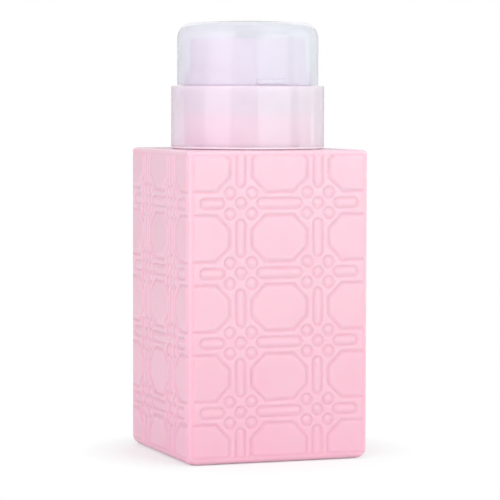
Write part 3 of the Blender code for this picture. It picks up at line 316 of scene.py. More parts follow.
# %% Sizes of the lattice, in millimetres
BODY_HALF = 26.5
CORNER_RADIUS = 2.0
FLAT_HALF = BODY_HALF - CORNER_RADIUS
CORNER_ARC = CORNER_RADIUS * math.pi / 4
STRIP_WIDTH = FLAT_HALF + CORNER_ARC
COLUMN_PITCH, ROW_PITCH = 22.6, 19.15
HALF_COLUMN, HALF_ROW = COLUMN_PITCH / 2, ROW_PITCH / 2
ROWS = 5
TOP_ROW_HEIGHT = 81.375
GROOVE_REACH = 0.8
OCTAGON_EASE = 1.0
BORDER_SHARE = 0.5  # of the groove's depth, along the edge of the field of tiles
POINT_STEP = 1.7

OCTAGON = {"half_width": 8.15, "half_height": 6.4, "diagonal": 10.5}
CROSS_ASIDE, CROSS_DOWN = 3.17, 2.86
# Each rounded tile: centre across, centre up, half length of its middle line, radius, upright
ROUNDED_TILES = [
    (0.0, HALF_ROW, 5.2, 1.3, False),
    (19.55, HALF_ROW, 2.15, 1.3, False),
    (HALF_COLUMN, 0.0, 3.8, 1.25, True),
    (HALF_COLUMN, HALF_ROW, 0.0, 1.45, True),
    (HALF_COLUMN - CROSS_ASIDE, HALF_ROW - CROSS_DOWN, 0.0, 1.45, True),
    (HALF_COLUMN + CROSS_ASIDE, HALF_ROW - CROSS_DOWN, 0.0, 1.45, True),
]
OCTAGON_CENTRES = (0.0, COLUMN_PITCH)
OUTER_RINGS = (0.0, 0.2, 0.4, 0.6, GROOVE_REACH)
OCTAGON_RINGS = (-0.25, -0.5, -0.75, -OCTAGON_EASE, -1.3)
ROUNDED_RING_SHARES = (0.25, 0.5, 0.75)
FIELD_PAST_FLAT = 0.6
FIELD_HALF = FLAT_HALF + CORNER_RADIUS * math.asin(FIELD_PAST_FLAT / CORNER_RADIUS)
FIELD_TOP = 85.0
BASE_ROUND = 2.6
SHOULDER_ROUND = 1.1
BODY_TOP = 86.3
FIELD_FOOT_HEIGHT = 2.0
# The same level measured along the wall, which bends in at the foot
FIELD_FOOT = BASE_ROUND - BASE_ROUND * math.asin(1 - FIELD_FOOT_HEIGHT / BASE_ROUND)
BORDER_OFFSETS = (-0.8, -0.53, -0.27, 0.0, 0.27, 0.53, 0.8)
print("strip", round(STRIP_WIDTH, 2), "by", HALF_ROW, "mm; field from", round(FIELD_FOOT, 2))


# %% Lines of the flat strip: each tile's outline and rings beside it
def octagon_ring(centre, offset):
    """An octagon's corners, moved outwards by an offset."""
    wide = OCTAGON["half_width"] + offset
    high = OCTAGON["half_height"] + offset
    slant = OCTAGON["diagonal"] + offset * math.sqrt(2)
    corners = [(wide, slant - wide), (slant - high, high),
               (high - slant, high), (-wide, slant - wide)]
    corners += [(-across, -up) for across, up in corners]
    return [(centre + across, up) for across, up in corners]


def rounded_ring(tile, offset):
    """The outline of a bar, post or dot, moved outwards by an offset."""
    across, up, half, radius, upright = tile
    reach = radius + offset
    steps = 6
    points = []
    for end, first in ((1, -90), (-1, 90)):
        for step in range(steps + 1):
            angle = math.radians(first + 180 * step / steps)
            along, aside = end * half + reach * math.cos(angle), reach * math.sin(angle)
            points.append((across + aside, up + along) if upright else (across + along, up + aside))
    return points


def strip_lines():
    """Every line of the strip as a list of points; some run past its edge."""
    lines = []
    for centre in OCTAGON_CENTRES:
        for offset in OUTER_RINGS + OCTAGON_RINGS:
            ring = octagon_ring(centre, offset)
            lines.append(ring + ring[:1])
    for tile in ROUNDED_TILES:
        across, up, half, radius, upright = tile
        for offset in OUTER_RINGS + tuple(-radius * share for share in ROUNDED_RING_SHARES):
            ring = rounded_ring(tile, offset)
            lines.append(ring + ring[:1])
        aside, along = (0, half) if upright else (half, 0)
        middle = [(across - aside, up - along), (across + aside, up + along)]
        lines.append(middle if half else middle[:1])
    uprights = [FIELD_HALF + offset for offset in BORDER_OFFSETS]
    uprights += [FLAT_HALF + CORNER_ARC * step / 4 for step in range(4)]
    lines += [[(across, 0.0), (across, HALF_ROW)] for across in uprights]
    corners = [(0.0, 0.0), (STRIP_WIDTH, 0.0), (STRIP_WIDTH, HALF_ROW), (0.0, HALF_ROW)]
    lines.append(corners + corners[:1])
    return lines


print("lines in the strip", len(strip_lines()))


# %% Fill the strip with triangles that keep every line
def strip_mesh():
    points, edges = [], []
    for line in strip_lines():
        if len(line) == 1:
            points.append(Vector(line[0]))
        for start, end in zip(line, line[1:]):
            start, end = Vector(start), Vector(end)
            parts = max(1, math.ceil((end - start).length / POINT_STEP))
            for part in range(parts):
                edges.append((len(points) + part, len(points) + part + 1))
            points += [start.lerp(end, part / parts) for part in range(parts + 1)]
    corners, _, triangles, _, _, _ = delaunay_2d_cdt(points, edges, [], 0, WELD / 2)
    bm = bmesh.new()
    verts = [bm.verts.new((corner.x, corner.y, 0)) for corner in corners]
    for triangle in triangles:
        middle = sum((corners[index] for index in triangle), Vector((0, 0))) / 3
        if 0 < middle.x < STRIP_WIDTH and 0 < middle.y < HALF_ROW:
            bm.faces.new([verts[index] for index in triangle])
    loose = [vert for vert in bm.verts if not vert.link_faces]
    bmesh.ops.delete(bm, geom=loose, context='VERTS')
    for axis in ("Y", "X"):
        bmesh.ops.mirror(bm, geom=bm.faces[:] + bm.edges[:] + bm.verts[:],
                         matrix=Matrix.Identity(4), merge_dist=WELD, axis=axis)
    return stored(bm, bpy.data.meshes.new("lattice_row"))


row_mesh = strip_mesh()
print("one row of the lattice has", len(row_mesh.polygons), "triangles")

# %% [markdown]
# ## Repeating the row with Geometry Nodes
#
# The five rows are one mesh, a pitch apart, and the four sides are one side, a quarter
# turn apart. An Array modifier could do the rows, but one small tree of nodes does both:
# it puts a copy on each point of a line and turns it by a step. Realize Instances makes
# the copies real mesh, and Merge by Distance joins them along their edges.


# %% A tree that repeats a mesh by a step and a turn
def new_tree(name, inputs):
    """A tree with named inputs, each given with its kind, and one geometry output."""
    tree = bpy.data.node_groups.new(name, 'GeometryNodeTree')
    for title, kind in inputs.items():
        tree.interface.new_socket(title, in_out='INPUT', socket_type=f'NodeSocket{kind}')
    tree.interface.new_socket("Geometry", in_out='OUTPUT', socket_type='NodeSocketGeometry')
    return tree, add_node(tree, 'NodeGroupInput').outputs


def end_tree(tree, geometry, material):
    ends = {"Geometry": geometry, "Material": material}
    dressed = add_node(tree, 'GeometryNodeSetMaterial', ends)
    add_node(tree, 'NodeGroupOutput', {"Geometry": dressed})
    return tree


def repeat_tree():
    tree, given = new_tree("repeat_by_step", {
        "Geometry": "Geometry", "Copies": "Int", "Start": "Vector", "Step": "Vector",
        "Turn": "Float", "Weld distance": "Float", "Material": "Material"})
    line = add_node(tree, 'GeometryNodeMeshLine', {
        "Count": given["Copies"], "Start Location": given["Start"], "Offset": given["Step"]})
    index = add_node(tree, 'GeometryNodeInputIndex')
    turn = calculated(tree, 'MULTIPLY', index, given["Turn"])
    spin = add_node(tree, 'ShaderNodeCombineXYZ', {"Z": turn})
    copies = add_node(tree, 'GeometryNodeInstanceOnPoints', {
        "Points": line, "Instance": given["Geometry"], "Rotation": spin})
    real = add_node(tree, 'GeometryNodeRealizeInstances', {"Geometry": copies})
    welded = add_node(tree, 'GeometryNodeMergeByDistance', {
        "Geometry": real, "Distance": given["Weld distance"]})
    return end_tree(tree, welded, given["Material"])


def run_tree(name, mesh, tree, settings):
    """Put a tree on a mesh with its inputs set by identifier, and return the plain result."""
    holder = place_in_scene(name, mesh)
    modifier = holder.modifiers.new(tree.name, 'NODES')
    modifier.node_group = tree
    for item in tree.interface.items_tree:
        if item.in_out == 'INPUT' and item.name in settings:
            modifier[item.identifier] = settings[item.name]
    return settle(holder)


REPEAT = repeat_tree()
print("tree", REPEAT.name, "has", len(REPEAT.nodes), "nodes")

# %% [markdown]
# ## From the flat strip to a side with relief
#
# Each point of the flat side is pushed in by how near it is to the tiles' outlines. The
# groove has the round foot that a mould leaves: half a cosine wave. The surface never
# stands above the plain wall, so the bottle keeps its size. Then the side is bent: round
# the corner at its ends, and along the rounded edges at the foot and the shoulder.


# %% The relief as a height at each point
def groove(distance, reach):
    """Depth beside an outline: deepest on the line, level with the wall at its reach."""
    return -GROOVE_DEPTH * 0.5 * (1 + np.cos(np.pi * np.clip(distance / reach, 0, 1)))


def relief_height(across, up):
    """Height of the flat side's points: nought on the wall and less in a groove."""
    across = np.abs(across)
    folded = np.abs((up - TOP_ROW_HEIGHT + HALF_ROW) % ROW_PITCH - HALF_ROW)
    height = np.zeros_like(across)
    for centre in OCTAGON_CENTRES:
        aside = np.abs(across - centre)
        slant = (aside + folded - OCTAGON["diagonal"]) / math.sqrt(2)
        level = np.maximum(aside - OCTAGON["half_width"], folded - OCTAGON["half_height"])
        distance = np.maximum(level, slant)
        beside = np.where(distance > 0, groove(distance, GROOVE_REACH),
                          groove(-distance, OCTAGON_EASE))
        height = np.minimum(height, beside)
    for tile_across, tile_up, half, radius, upright in ROUNDED_TILES:
        along, aside = across - tile_across, folded - tile_up
        if upright:
            along, aside = aside, along
        distance = np.hypot(np.maximum(np.abs(along) - half, 0), aside) - radius
        crowned = -GROOVE_DEPTH * np.clip(1 + distance / radius, 0, 1) ** 2
        height = np.minimum(height, np.where(distance > 0, groove(distance, GROOVE_REACH), crowned))
    outside = np.maximum(across - FIELD_HALF, np.maximum(up - FIELD_TOP, FIELD_FOOT - up))
    height = np.where(outside < 0, height, 0)
    return np.minimum(height, BORDER_SHARE * groove(np.abs(outside), GROOVE_REACH))


# %% Bend the flat side to the bottle's wall
FOOT_END = BASE_ROUND - BASE_ROUND * math.pi / 2
SHOULDER_START = BODY_TOP - SHOULDER_ROUND
SHOULDER_END = SHOULDER_START + SHOULDER_ROUND * math.pi / 2


def bend_side(across, up, height):
    """Places in millimetres of the front side's points; the front looks along -Y."""
    low = np.clip((BASE_ROUND - up) / BASE_ROUND, 0, None)
    high = np.clip((up - SHOULDER_START) / SHOULDER_ROUND, 0, None)
    inset = BASE_ROUND * (1 - np.cos(low)) + SHOULDER_ROUND * (1 - np.cos(high))
    rise = np.clip(up, BASE_ROUND, SHOULDER_START)
    rise = rise - BASE_ROUND * np.sin(low) + SHOULDER_ROUND * np.sin(high)
    flat = FLAT_HALF - inset
    corner = np.clip((np.abs(across) - FLAT_HALF) / CORNER_RADIUS, 0, None)
    reach = CORNER_RADIUS + height * np.cos(low) * np.cos(high)
    aside = np.minimum(np.abs(across), FLAT_HALF) * flat / FLAT_HALF + reach * np.sin(corner)
    rise = rise + height * (np.sin(high) - np.sin(low))
    return np.stack([np.copysign(aside, across), -(flat + reach * np.cos(corner)), rise], axis=1)


def cut_at(bm, level, beyond=(0, 1, 0), clear_beyond=False):
    bmesh.ops.bisect_plane(bm, geom=bm.faces[:] + bm.edges[:] + bm.verts[:], dist=WELD / 10,
                           plane_co=(0, level, 0), plane_no=beyond, clear_outer=clear_beyond)


pet = MATERIALS["frosted_pink_pet"]
rows = run_tree("lattice_side", row_mesh, REPEAT, {
    "Copies": ROWS, "Start": (0.0, TOP_ROW_HEIGHT, 0.0), "Step": (0.0, -ROW_PITCH, 0.0),
    "Weld distance": WELD, "Material": pet})
side_bm = opened(rows.data)
cuts = [FIELD_TOP + offset for offset in BORDER_OFFSETS]
cuts += [FIELD_FOOT - offset for offset in BORDER_OFFSETS]
cuts += [FOOT_END + (BASE_ROUND - FOOT_END) * step / 6 for step in range(1, 7)]
cuts += [SHOULDER_START + (SHOULDER_END - SHOULDER_START) * step / 4 for step in range(4)]
for level in cuts:
    cut_at(side_bm, level)
cut_at(side_bm, FOOT_END, (0, -1, 0), clear_beyond=True)
cut_at(side_bm, SHOULDER_END, clear_beyond=True)
bmesh.ops.remove_doubles(side_bm, verts=side_bm.verts, dist=5 * WELD)
across, up = np.array([vert.co.xy for vert in side_bm.verts]).T
heights = relief_height(across, up)
depth_layer = side_bm.verts.layers.float.new("groove_depth")
for vert, place, height in zip(side_bm.verts, bend_side(across, up, heights), heights):
    vert.co, vert[depth_layer] = place, -height
stored(side_bm, rows.data)
print("one side:", len(rows.data.polygons), "faces, deepest", round(float(heights.min()), 2), "mm")
walls = run_tree("bottle_walls", rows.data.copy(), REPEAT, {
    "Copies": 4, "Turn": math.pi / 2, "Weld distance": 2 * WELD, "Material": pet})
bpy.data.objects.remove(rows)
print("four sides:", len(walls.data.polygons), "faces")

# %% [markdown]
# ## Closing the bottle: foot, shoulder, neck and inside
#
# The bottle is one skin, as the real one is: from the raised middle of its foot, up
# the outside, over the lip of the neck and down the inside. A skin with a real
# thickness has a true lip, and the pump can be lifted out of it. Turned and square
# parts are both rings of points, joined ring to ring.


# %% Rings, skins and rounded profiles
def round_ring(radius, height, count):
    turns = [2 * math.pi * index / count for index in range(count)]
    return [(radius * math.cos(turn), radius * math.sin(turn), height) for turn in turns]


def square_ring(half, corner, height, steps=5):
    points = []
    for quarter in range(4):
        for step in range(steps + 1):
            angle = math.pi / 2 * (quarter + step / steps)
            middle = math.pi / 4 + quarter * math.pi / 2
            centre = (half - corner) * math.sqrt(2)
            points.append((centre * math.cos(middle) + corner * math.cos(angle),
                           centre * math.sin(middle) + corner * math.sin(angle), height))
    return points


def add_skin(bm, rings, closed=False):
    """Join rings of equal count with faces; returns the edges of the first and last ring."""
    made = [[bm.verts.new(point) for point in ring] for ring in rings]
    pairs = list(zip(made, made[1:] + made[:1]))
    for low, high in pairs if closed else pairs[:-1]:
        for index, corner in enumerate(low):
            following = (index + 1) % len(low)
            bm.faces.new((corner, low[following], high[following], high[index]))
    ends = []
    for ring in (made[0], made[-1]):
        ends.append([bm.edges.get(pair) for pair in zip(ring, ring[1:] + ring[:1])])
    return ends


def arc(centre, radius, start, end, steps):
    """Points on an arc in the (radius, height) plane; angles in degrees from +radius."""
    angles = [math.radians(start + (end - start) * step / steps) for step in range(steps + 1)]
    return [(centre[0] + radius * math.cos(a), centre[1] + radius * math.sin(a)) for a in angles]


CORNER_SHARE = 0.45
NEARLY_STRAIGHT = math.radians(160)


def rounded(profile, radius, closed=True, steps=3):
    """Round a profile's corners; a corner takes at most a set share of the sides next to it."""
    points = []
    count = len(profile)
    for index, corner in enumerate(profile):
        corner = Vector(corner)
        before = Vector(profile[index - 1]) - corner
        after = Vector(profile[(index + 1) % count]) - corner
        at_end = not closed and index in (0, count - 1)
        if at_end or before.angle(after) > NEARLY_STRAIGHT:
            points.append(tuple(corner))
            continue
        cut = min(radius, CORNER_SHARE * before.length, CORNER_SHARE * after.length)
        start, end = corner + before.normalized() * cut, corner + after.normalized() * cut
        for step in range(steps + 1):
            share = step / steps
            points.append(tuple(start.lerp(corner, share).lerp(corner.lerp(end, share), share)))
    return points


print("a corner of 0.3 mm becomes", rounded([(0, 0), (0, 2), (2, 2)], 0.3, closed=False)[1:5])

# %% Close the skin of the bottle
NECK_SEGMENTS = 96
NECK_PROFILE = rounded([
    (15.6, 86.3), (14.8, 87.1), (14.8, 88), (15.8, 88), (15.8, 88.9), (14.8, 89.4),
    (14.8, 96.2), (13, 96.2), (13, 84.8)], 0.35, closed=False, steps=4)
NECK_PROFILE[0:1] = [(15.6, 86.3), (15.28, 86.36)]
# The underside, step by step: how far in and how high
FOOT_STEPS = ((2.45, 0.0), (0.15, 0.04), (0.4, 0.35), (0.6, 0.75), (0.4, 0.96), (0.3, 1.0))
INNER_PROFILE = arc((23.7, 83.7), 1.1, 90, 0, 4) + arc((22.2, 4.0), 2.6, 0, -90, 6)
INNER_PROFILE += [(21.3, 1.4), (19.9, 2.4)]
bottle_bm = opened(walls.data)
bpy.data.objects.remove(walls)
border = [edge for edge in bottle_bm.edges if edge.is_boundary]
SLACK = 0.01
foot_loop = [edge for edge in border if all(vert.co.z < SLACK for vert in edge.verts)]
top_loop = [edge for edge in border if all(vert.co.z > BODY_TOP - SLACK for vert in edge.verts)]
print("open edges", len(border), "foot", len(foot_loop), "shoulder", len(top_loop))
flat = FLAT_HALF - BASE_ROUND
for inset, level in FOOT_STEPS:
    grown = bmesh.ops.extrude_edge_only(bottle_bm, edges=foot_loop)["geom"]
    for vert in (item for item in grown if isinstance(item, bmesh.types.BMVert)):
        for axis in (0, 1):
            side = vert.co[axis]
            # The corner moves in by the whole step, and the flat shrinks between the corners
            moved = side - math.copysign(inset, side)
            vert.co[axis] = side * (flat - inset) / flat if abs(side) <= flat + WELD else moved
        vert.co.z = level
    foot_loop = [item for item in grown if isinstance(item, bmesh.types.BMEdge)]
    flat -= inset
bmesh.ops.triangle_fill(bottle_bm, edges=foot_loop, use_beauty=True)
neck_foot, neck_end = add_skin(bottle_bm, [round_ring(radius, height, NECK_SEGMENTS)
                                           for radius, height in NECK_PROFILE])
inner_top, inner_end = add_skin(bottle_bm, [square_ring(reach, 1.2, height)
                                            for reach, height in INNER_PROFILE])
for edges in (top_loop + neck_foot, neck_end + inner_top, inner_end):
    bmesh.ops.triangle_fill(bottle_bm, edges=edges, use_beauty=True)
bottle = place_in_scene("frosted_bottle", mesh_from("frosted_bottle", bottle_bm, smooth_angle=50))
# Large faces lead the smooth shading, so that thin triangles between them don't show
shading = bottle.modifiers.new("even_shading", 'WEIGHTED_NORMAL')
shading.mode, shading.keep_sharp = 'FACE_AREA', True
settle(bottle)
report(bottle)

# %% [markdown]
# ## Screw threads and the spring as swept paths
#
# A thread's ridge and a spring's wire both follow a helix. A modeller could use the
# Screw modifier, but it can't fade a thread out at its ends. So one tree of
# Geometry Nodes bends a straight line into a helix, with closer turns at its ends for
# the spring, and sweeps a small profile along it. The radius of the curve scales the
# profile, which lets the thread's ridge sink into the wall at both ends.


# %% A tree that sweeps a profile along a helix
LEAST_RADIUS = 0.02  # of the profile's full size, where a thread fades out


def helix_tree():
    sizes = dict.fromkeys(("Radius", "Foot height", "Turns", "First turn", "Pitch", "End turns",
                           "End pitch", "Fade turns"), "Float")
    tree, given = new_tree("sweep_along_helix", {
        "Profile": "Geometry", **sizes, "Points": "Int", "Material": "Material"})

    def math_node(operation, *values):
        return calculated(tree, operation, *values)

    line = add_node(tree, 'GeometryNodeMeshLine', {"Count": given["Points"], "Offset": (0, 0, MM)})
    path = add_node(tree, 'GeometryNodeMeshToCurve', {"Mesh": line})
    share = add_node(tree, 'GeometryNodeSplineParameter')
    turned = math_node('MULTIPLY', share, given["Turns"])
    left = math_node('SUBTRACT', given["Turns"], turned)
    low_end = math_node('MINIMUM', turned, given["End turns"])
    high_start = math_node('SUBTRACT', given["Turns"], given["End turns"])
    high_end = math_node('MAXIMUM', math_node('SUBTRACT', turned, high_start), 0.0)
    close = math_node('ADD', low_end, high_end)
    rise = math_node('MULTIPLY', math_node('SUBTRACT', turned, close), given["Pitch"])
    rise = math_node('MULTIPLY_ADD', close, given["End pitch"], rise)
    height = math_node('ADD', given["Foot height"], rise)
    angle = math_node('MULTIPLY', math_node('ADD', turned, given["First turn"]), 2 * math.pi)
    across = math_node('MULTIPLY', math_node('COSINE', angle), given["Radius"])
    along = math_node('MULTIPLY', math_node('SINE', angle), given["Radius"])
    place = add_node(tree, 'ShaderNodeCombineXYZ', {"X": across, "Y": along, "Z": height})
    helix = add_node(tree, 'GeometryNodeSetPosition', {
        "Geometry": path, "Position": place})
    upright = add_node(tree, 'GeometryNodeSetCurveNormal', {"Curve": helix}, mode='Z_UP')
    near_end = math_node('DIVIDE', math_node('MINIMUM', turned, left), given["Fade turns"])
    quarter_turn = math_node('MULTIPLY', math_node('MINIMUM', near_end, 1.0), math.pi / 2)
    eased = math_node('MAXIMUM', math_node('SINE', quarter_turn), LEAST_RADIUS)
    faded = add_node(tree, 'GeometryNodeSetCurveRadius', {
        "Curve": upright, "Radius": eased})
    section = add_node(tree, 'GeometryNodeMeshToCurve', {"Mesh": given["Profile"]})
    swept = add_node(tree, 'GeometryNodeCurveToMesh', {
        "Curve": faded, "Profile Curve": section, "Fill Caps": True})
    real = add_node(tree, 'GeometryNodeRealizeInstances', {"Geometry": swept})
    return end_tree(tree, real, given["Material"])


HELIX = helix_tree()


def swept_helix(name, profile, finish, settings):
    """Sweep a closed profile, given in millimetres as (outward, upward), along a helix."""
    bm = bmesh.new()
    verts = [bm.verts.new((out, up, 0)) for out, up in profile]
    for pair in zip(verts, verts[1:] + verts[:1]):
        bm.edges.new(pair)
    section = stored(bm, bpy.data.meshes.new(name))
    made = run_tree(name, section, HELIX, {"Material": MATERIALS[finish], **settings})
    made.data = mesh_from(name, opened(made.data), smooth_angle=40)
    report(made)
    return made


NECK_THREAD = [(-0.4, -1.0), (0.0, -1.0), (0.75, -0.42), (0.85, -0.2),
               (0.85, 0.2), (0.75, 0.42), (0.0, 0.8), (-0.4, 0.8)]
CAP_THREAD = [(0.4, 0.95), (0.0, 0.95), (-0.45, 0.4), (-0.53, 0.2),
              (-0.53, -0.2), (-0.45, -0.4), (0.0, -0.75), (0.4, -0.75)]
THREAD = {"Pitch": 4.23, "Points": 150, "Fade turns": 0.12}
NO_FADE = 0.0001  # of a turn; the tree divides by it
neck_thread = swept_helix("neck_thread", NECK_THREAD, "frosted_pink_pet", {
    "Radius": 14.8, "Foot height": 90.9, "Turns": 1.05, **THREAD})
cap_thread = swept_helix("cap_thread", CAP_THREAD, "hazy_cap_inside_painted_pink_light", {
    "Radius": 16.25, "Foot height": 90.6, "Turns": 1.1, "First turn": 0.43, **THREAD})
wire = [point[:2] for point in round_ring(0.45, 0, 12)]
spring = swept_helix("return_spring_wound", wire, "stainless_steel", {
    "Radius": 5.0, "Foot height": 64.75, "Turns": 6.0, "Pitch": 4.1, "Points": 289,
    "End turns": 1.0, "End pitch": 1.5, "Fade turns": NO_FADE})
for swept in (neck_thread, cap_thread, spring):
    low = min(vert.co.z for vert in swept.data.vertices) / MM
    far = max(vert.co.xy.length for vert in swept.data.vertices) / MM
    print(swept.name, "lowest", round(low, 2), "outermost radius", round(far, 2))

# %% [markdown]
# ## Turned mouldings
#
# Nearly every part of a screw-on pump is round, because its mould is turned on a lathe.
# So each piece here is a profile, in (radius, height) pairs, spun round the Z axis. The
# CAD model has the same profiles with few facets. Here they get many facets and small
# rounded edges, and those edges catch the light.


# %% Spin a profile into a piece
EDGE_ROUND = 0.15


def spun(name, profile, edge=EDGE_ROUND, segments=72):
    """Spin a profile; one that starts on the axis is open there, and any other is a loop."""
    closed = profile[0][0] > WELD
    path = rounded(profile, edge, closed) if edge else profile
    bm = bmesh.new()
    add_skin(bm, [round_ring(radius, height, segments) for radius, height in path], closed)
    return place_in_scene(name, mesh_from(name, bm))


def bored(made, centre, axis, radius, half_length):
    """Cut a round hole along X or Z."""
    turn = Matrix.Rotation(math.pi / 2, 4, 'Y') if axis == 'X' else Matrix.Identity(4)
    bm = bmesh.new()
    bmesh.ops.create_cone(bm, cap_ends=True, segments=32, radius1=radius, radius2=radius,
                          depth=2 * half_length, matrix=Matrix.Translation(centre) @ turn)
    return combined(made, place_in_scene("bore_tool", mesh_from("bore_tool", bm)), 'DIFFERENCE')


def combined(made, tool, operation):
    change = made.modifiers.new(operation.lower(), 'BOOLEAN')
    change.operation, change.object, change.solver = operation, tool, 'EXACT'
    settle(made)
    made.data.set_sharp_from_angle(angle=math.radians(SHARP_ANGLE))
    bpy.data.objects.remove(tool)
    return made


# The cap's web, and the foot of its top band, which is painted lilac light from the dish above it.
CAP_WEB, CAP_PAINTED_LILAC_FOOT = 96.3, 104.0
INSERT_PROFILES = {
    "neck_gasket": [(13.3, 96.5), (15.6, 96.5), (15.6, 97.5), (13.3, 97.5)],
    "pump_cylinder": [
        (7, 99.3), (15.6, 99.3), (15.6, 97.8), (9.5, 97.8), (8.1, 96), (8.1, 62.5), (4.3, 57.5),
        (4, 54), (4, 44), (2.9, 44), (2.9, 54), (1.3, 54), (1.3, 55.6), (3.2, 57.5), (3.2, 62.5),
        (7, 62.5)],
    "stem_guide": [
        (3.8, 95), (6.7, 95), (6.7, 99.6), (9.8, 99.6), (9.8, 100.8), (5.4, 100.8), (5.4, 101.4),
        (3.8, 101.4)],
    "stem_seal": [(3.8, 93.7), (6.7, 93.7), (6.7, 94.7), (3.8, 94.7)],
    "dip_tube": [(1.8, 4.4), (2.6, 4.4), (2.6, 53.7), (1.8, 53.7)],
    "outlet_cap": [
        (0.8, 109.6), (1.6, 109.6), (1.6, 112.4), (3.4, 112.4), (3.4, 113.1), (2.1, 113.7),
        (0.8, 113.9)],
    "pump_stem": [
        (3.4, 86.4), (3.4, 112.1), (1.9, 112.1), (1.9, 109.3), (1.2, 108.6), (1.2, 93.05),
        (1.9, 93.05), (1.9, 86.4)],
    "piston": [
        (6.7, 86.4), (6.7, 87.2), (5.6, 88.6), (5.6, 91.2), (6.7, 92.6), (6.7, 93.4), (6, 93.4),
        (4.65, 92.3), (3.7, 92.3), (3.7, 87.5), (4.65, 87.5), (6, 86.4)],
    "piston_foot": [
        (0.9, 84.9), (5.7, 84.9), (5.7, 86.1), (1.6, 86.1), (1.6, 89), (1.3, 89), (0.9, 88.6)],
    "threaded_cap": [
        (18, 87.6), (18, CAP_WEB), (18, CAP_PAINTED_LILAC_FOOT), (18, 107.7), (17.7, 108), (17.1, 108),
        (16.8, 107.7), (16.8, 100.8), (10.2, 100.8), (10.2, 99.6), (16.25, 99.6),
        (16.25, CAP_WEB), (16.25, 87.6)],
    "lid_seal": [(0, 114.2), (4, 114.2), (4, 115.2), (0, 115.2)],
    "ball_cage": [(0, 61.34), (1, 61.34), (1, 62.8), (6.7, 62.8), (6.7, 64), (0, 64)],
}
pieces = {node: spun(f"{node}_moulded", path) for node, path in INSERT_PROFILES.items()}
for hole in round_ring(2.2, 63.4, 4):
    pieces["ball_cage"] = bored(pieces["ball_cage"], hole, 'Z', 0.7, 1.6)
for made in pieces.values():
    report(made)


# %% The V notch at the foot of the dip tube, the balls and the hinge pin
def prism(name, outline, start, end, plane='YZ', edge=0.0):
    """Push an outline along X, or along Z for a plan, and bevel its edges."""
    bm = bmesh.new()
    points = [(start, a, b) if plane == 'YZ' else (a, b, start) for a, b in outline]
    face = bm.faces.new([bm.verts.new(point) for point in points])
    grown = bmesh.ops.extrude_face_region(bm, geom=[face])["geom"]
    moved = [item for item in grown if isinstance(item, bmesh.types.BMVert)]
    travel = (end - start, 0, 0) if plane == 'YZ' else (0, 0, end - start)
    bmesh.ops.translate(bm, verts=moved, vec=travel)
    if edge:
        rims = [rim for rim in bm.edges if rim.calc_face_angle(0) > math.radians(50)]
        bmesh.ops.bevel(bm, geom=rims, offset=edge, segments=3, profile=0.5, affect='EDGES')
    return place_in_scene(name, mesh_from(name, bm))


HINGE = (0, 21.8, 106.05)
notch = prism("notch_tool", [(-3.6, 3.4), (3.6, 3.4), (0, 7.0)], -3.6, 3.6)
pieces["dip_tube"] = combined(pieces["dip_tube"], notch, 'DIFFERENCE')
for name, radius, height in (("upper_ball", 1.5, 90.245), ("lower_ball", 2.2, 57.836)):
    pieces[name] = spun(f"{name}_ground", arc((0, height), radius, -90, 90, 20), 0, 40)
pin = spun("hinge_pin_drawn", [(0, -4.7), (0.6, -4.7), (0.6, 4.7), (0, 4.7)], segments=24)
hinge_place = Matrix.Translation([side * MM for side in HINGE])
pin.data.transform(hinge_place @ Matrix.Rotation(math.pi / 2, 4, 'Y'))
pieces["hinge_pin"] = pin
print("turned pieces", len(pieces))

# %% [markdown]
# ## The dish, the closure's shell and the dome lid
#
# These show most. The dish is a shallow bowl with a rolled rim. The shell is a plain
# round skirt with two lugs at the back, and the lid turns on a pin between them. A
# small tab at the front lets a thumb lift the lid.

# %% The dish
DISH_BOWL = arc((12.2, 114.8), 3.0, 0, -90, 12)
DISH_UNDER = arc((12.2, 114.8), 4.2, -90, -44.4, 8)
dish_profile = [(16.4, 106.1)] + arc((16.0, 116.8), 0.4, 0, 90, 6)
dish_profile += arc((15.6, 116.8), 0.4, 90, 180, 6) + DISH_BOWL
dish_profile += [
    (5, 111.5), (5, 112.5), (4.8, 112.7), (3.9, 112.7), (3.7, 112.5), (3.7, 107.2), (5, 107.2),
    (5, 110.3)] + DISH_UNDER + [(15.2, 106.1)]
dish = spun("press_dish_moulded", dish_profile, 0, 128)
report(dish)

# %% The closure's shell with its hinge lugs
LARGE_SEGMENTS = 160
SHELL_RIM_TOP = 87.0
HINGE_ROUND, HINGE_BORE = 1.5, 0.9
shell_profile = [(20.6, 86.5), (21.5, 86.5), (21.7, 86.7), (21.7, SHELL_RIM_TOP)]
shell_profile += arc((21.2, 103.6), 0.5, 0, 90, 6)
shell_profile += [
    (18.6, 104.1), (18.3, 103.8), (18.3, 96.3), (18.5, 96.1), (19.1, 96.1), (19.3, 96.3),
    (19.3, 102.4), (19.7, 102.8), (20, 102.8), (20.4, 102.4), (20.4, 86.7)]
shell = spun("closure_shell_moulded", shell_profile, 0, LARGE_SEGMENTS)
lug_outline = [(20.3, 103.5), (20.5, 103.5), (20.5, 100.5), (21.1, 100.5), (23.3, 104.1)]
lug_outline += arc(HINGE[1:], HINGE_ROUND, 0, 180, 16)
for start, end in ((2.7, 4.7), (-4.7, -2.7)):
    shell = combined(shell, prism("lug_tool", lug_outline, start, end, edge=0.2), 'UNION')
shell = bored(shell, HINGE, 'X', HINGE_BORE, 6.0)
report(shell)

# %% The dome lid with its tongue, thumb tab and seal holder
LID_ARC = (15.8, 117.6)
LID_ROUND, LID_ROUND_INSIDE = 4.2, 3.0
LID_TOP, LID_ROOF_INSIDE = 122.4, 121.2
CROWN_DROP = 0.6


def crown(radius, top):
    """The height of the gently domed roof, which is lower where the shoulder starts."""
    return top - CROWN_DROP * (radius / LID_ARC[0]) ** 2


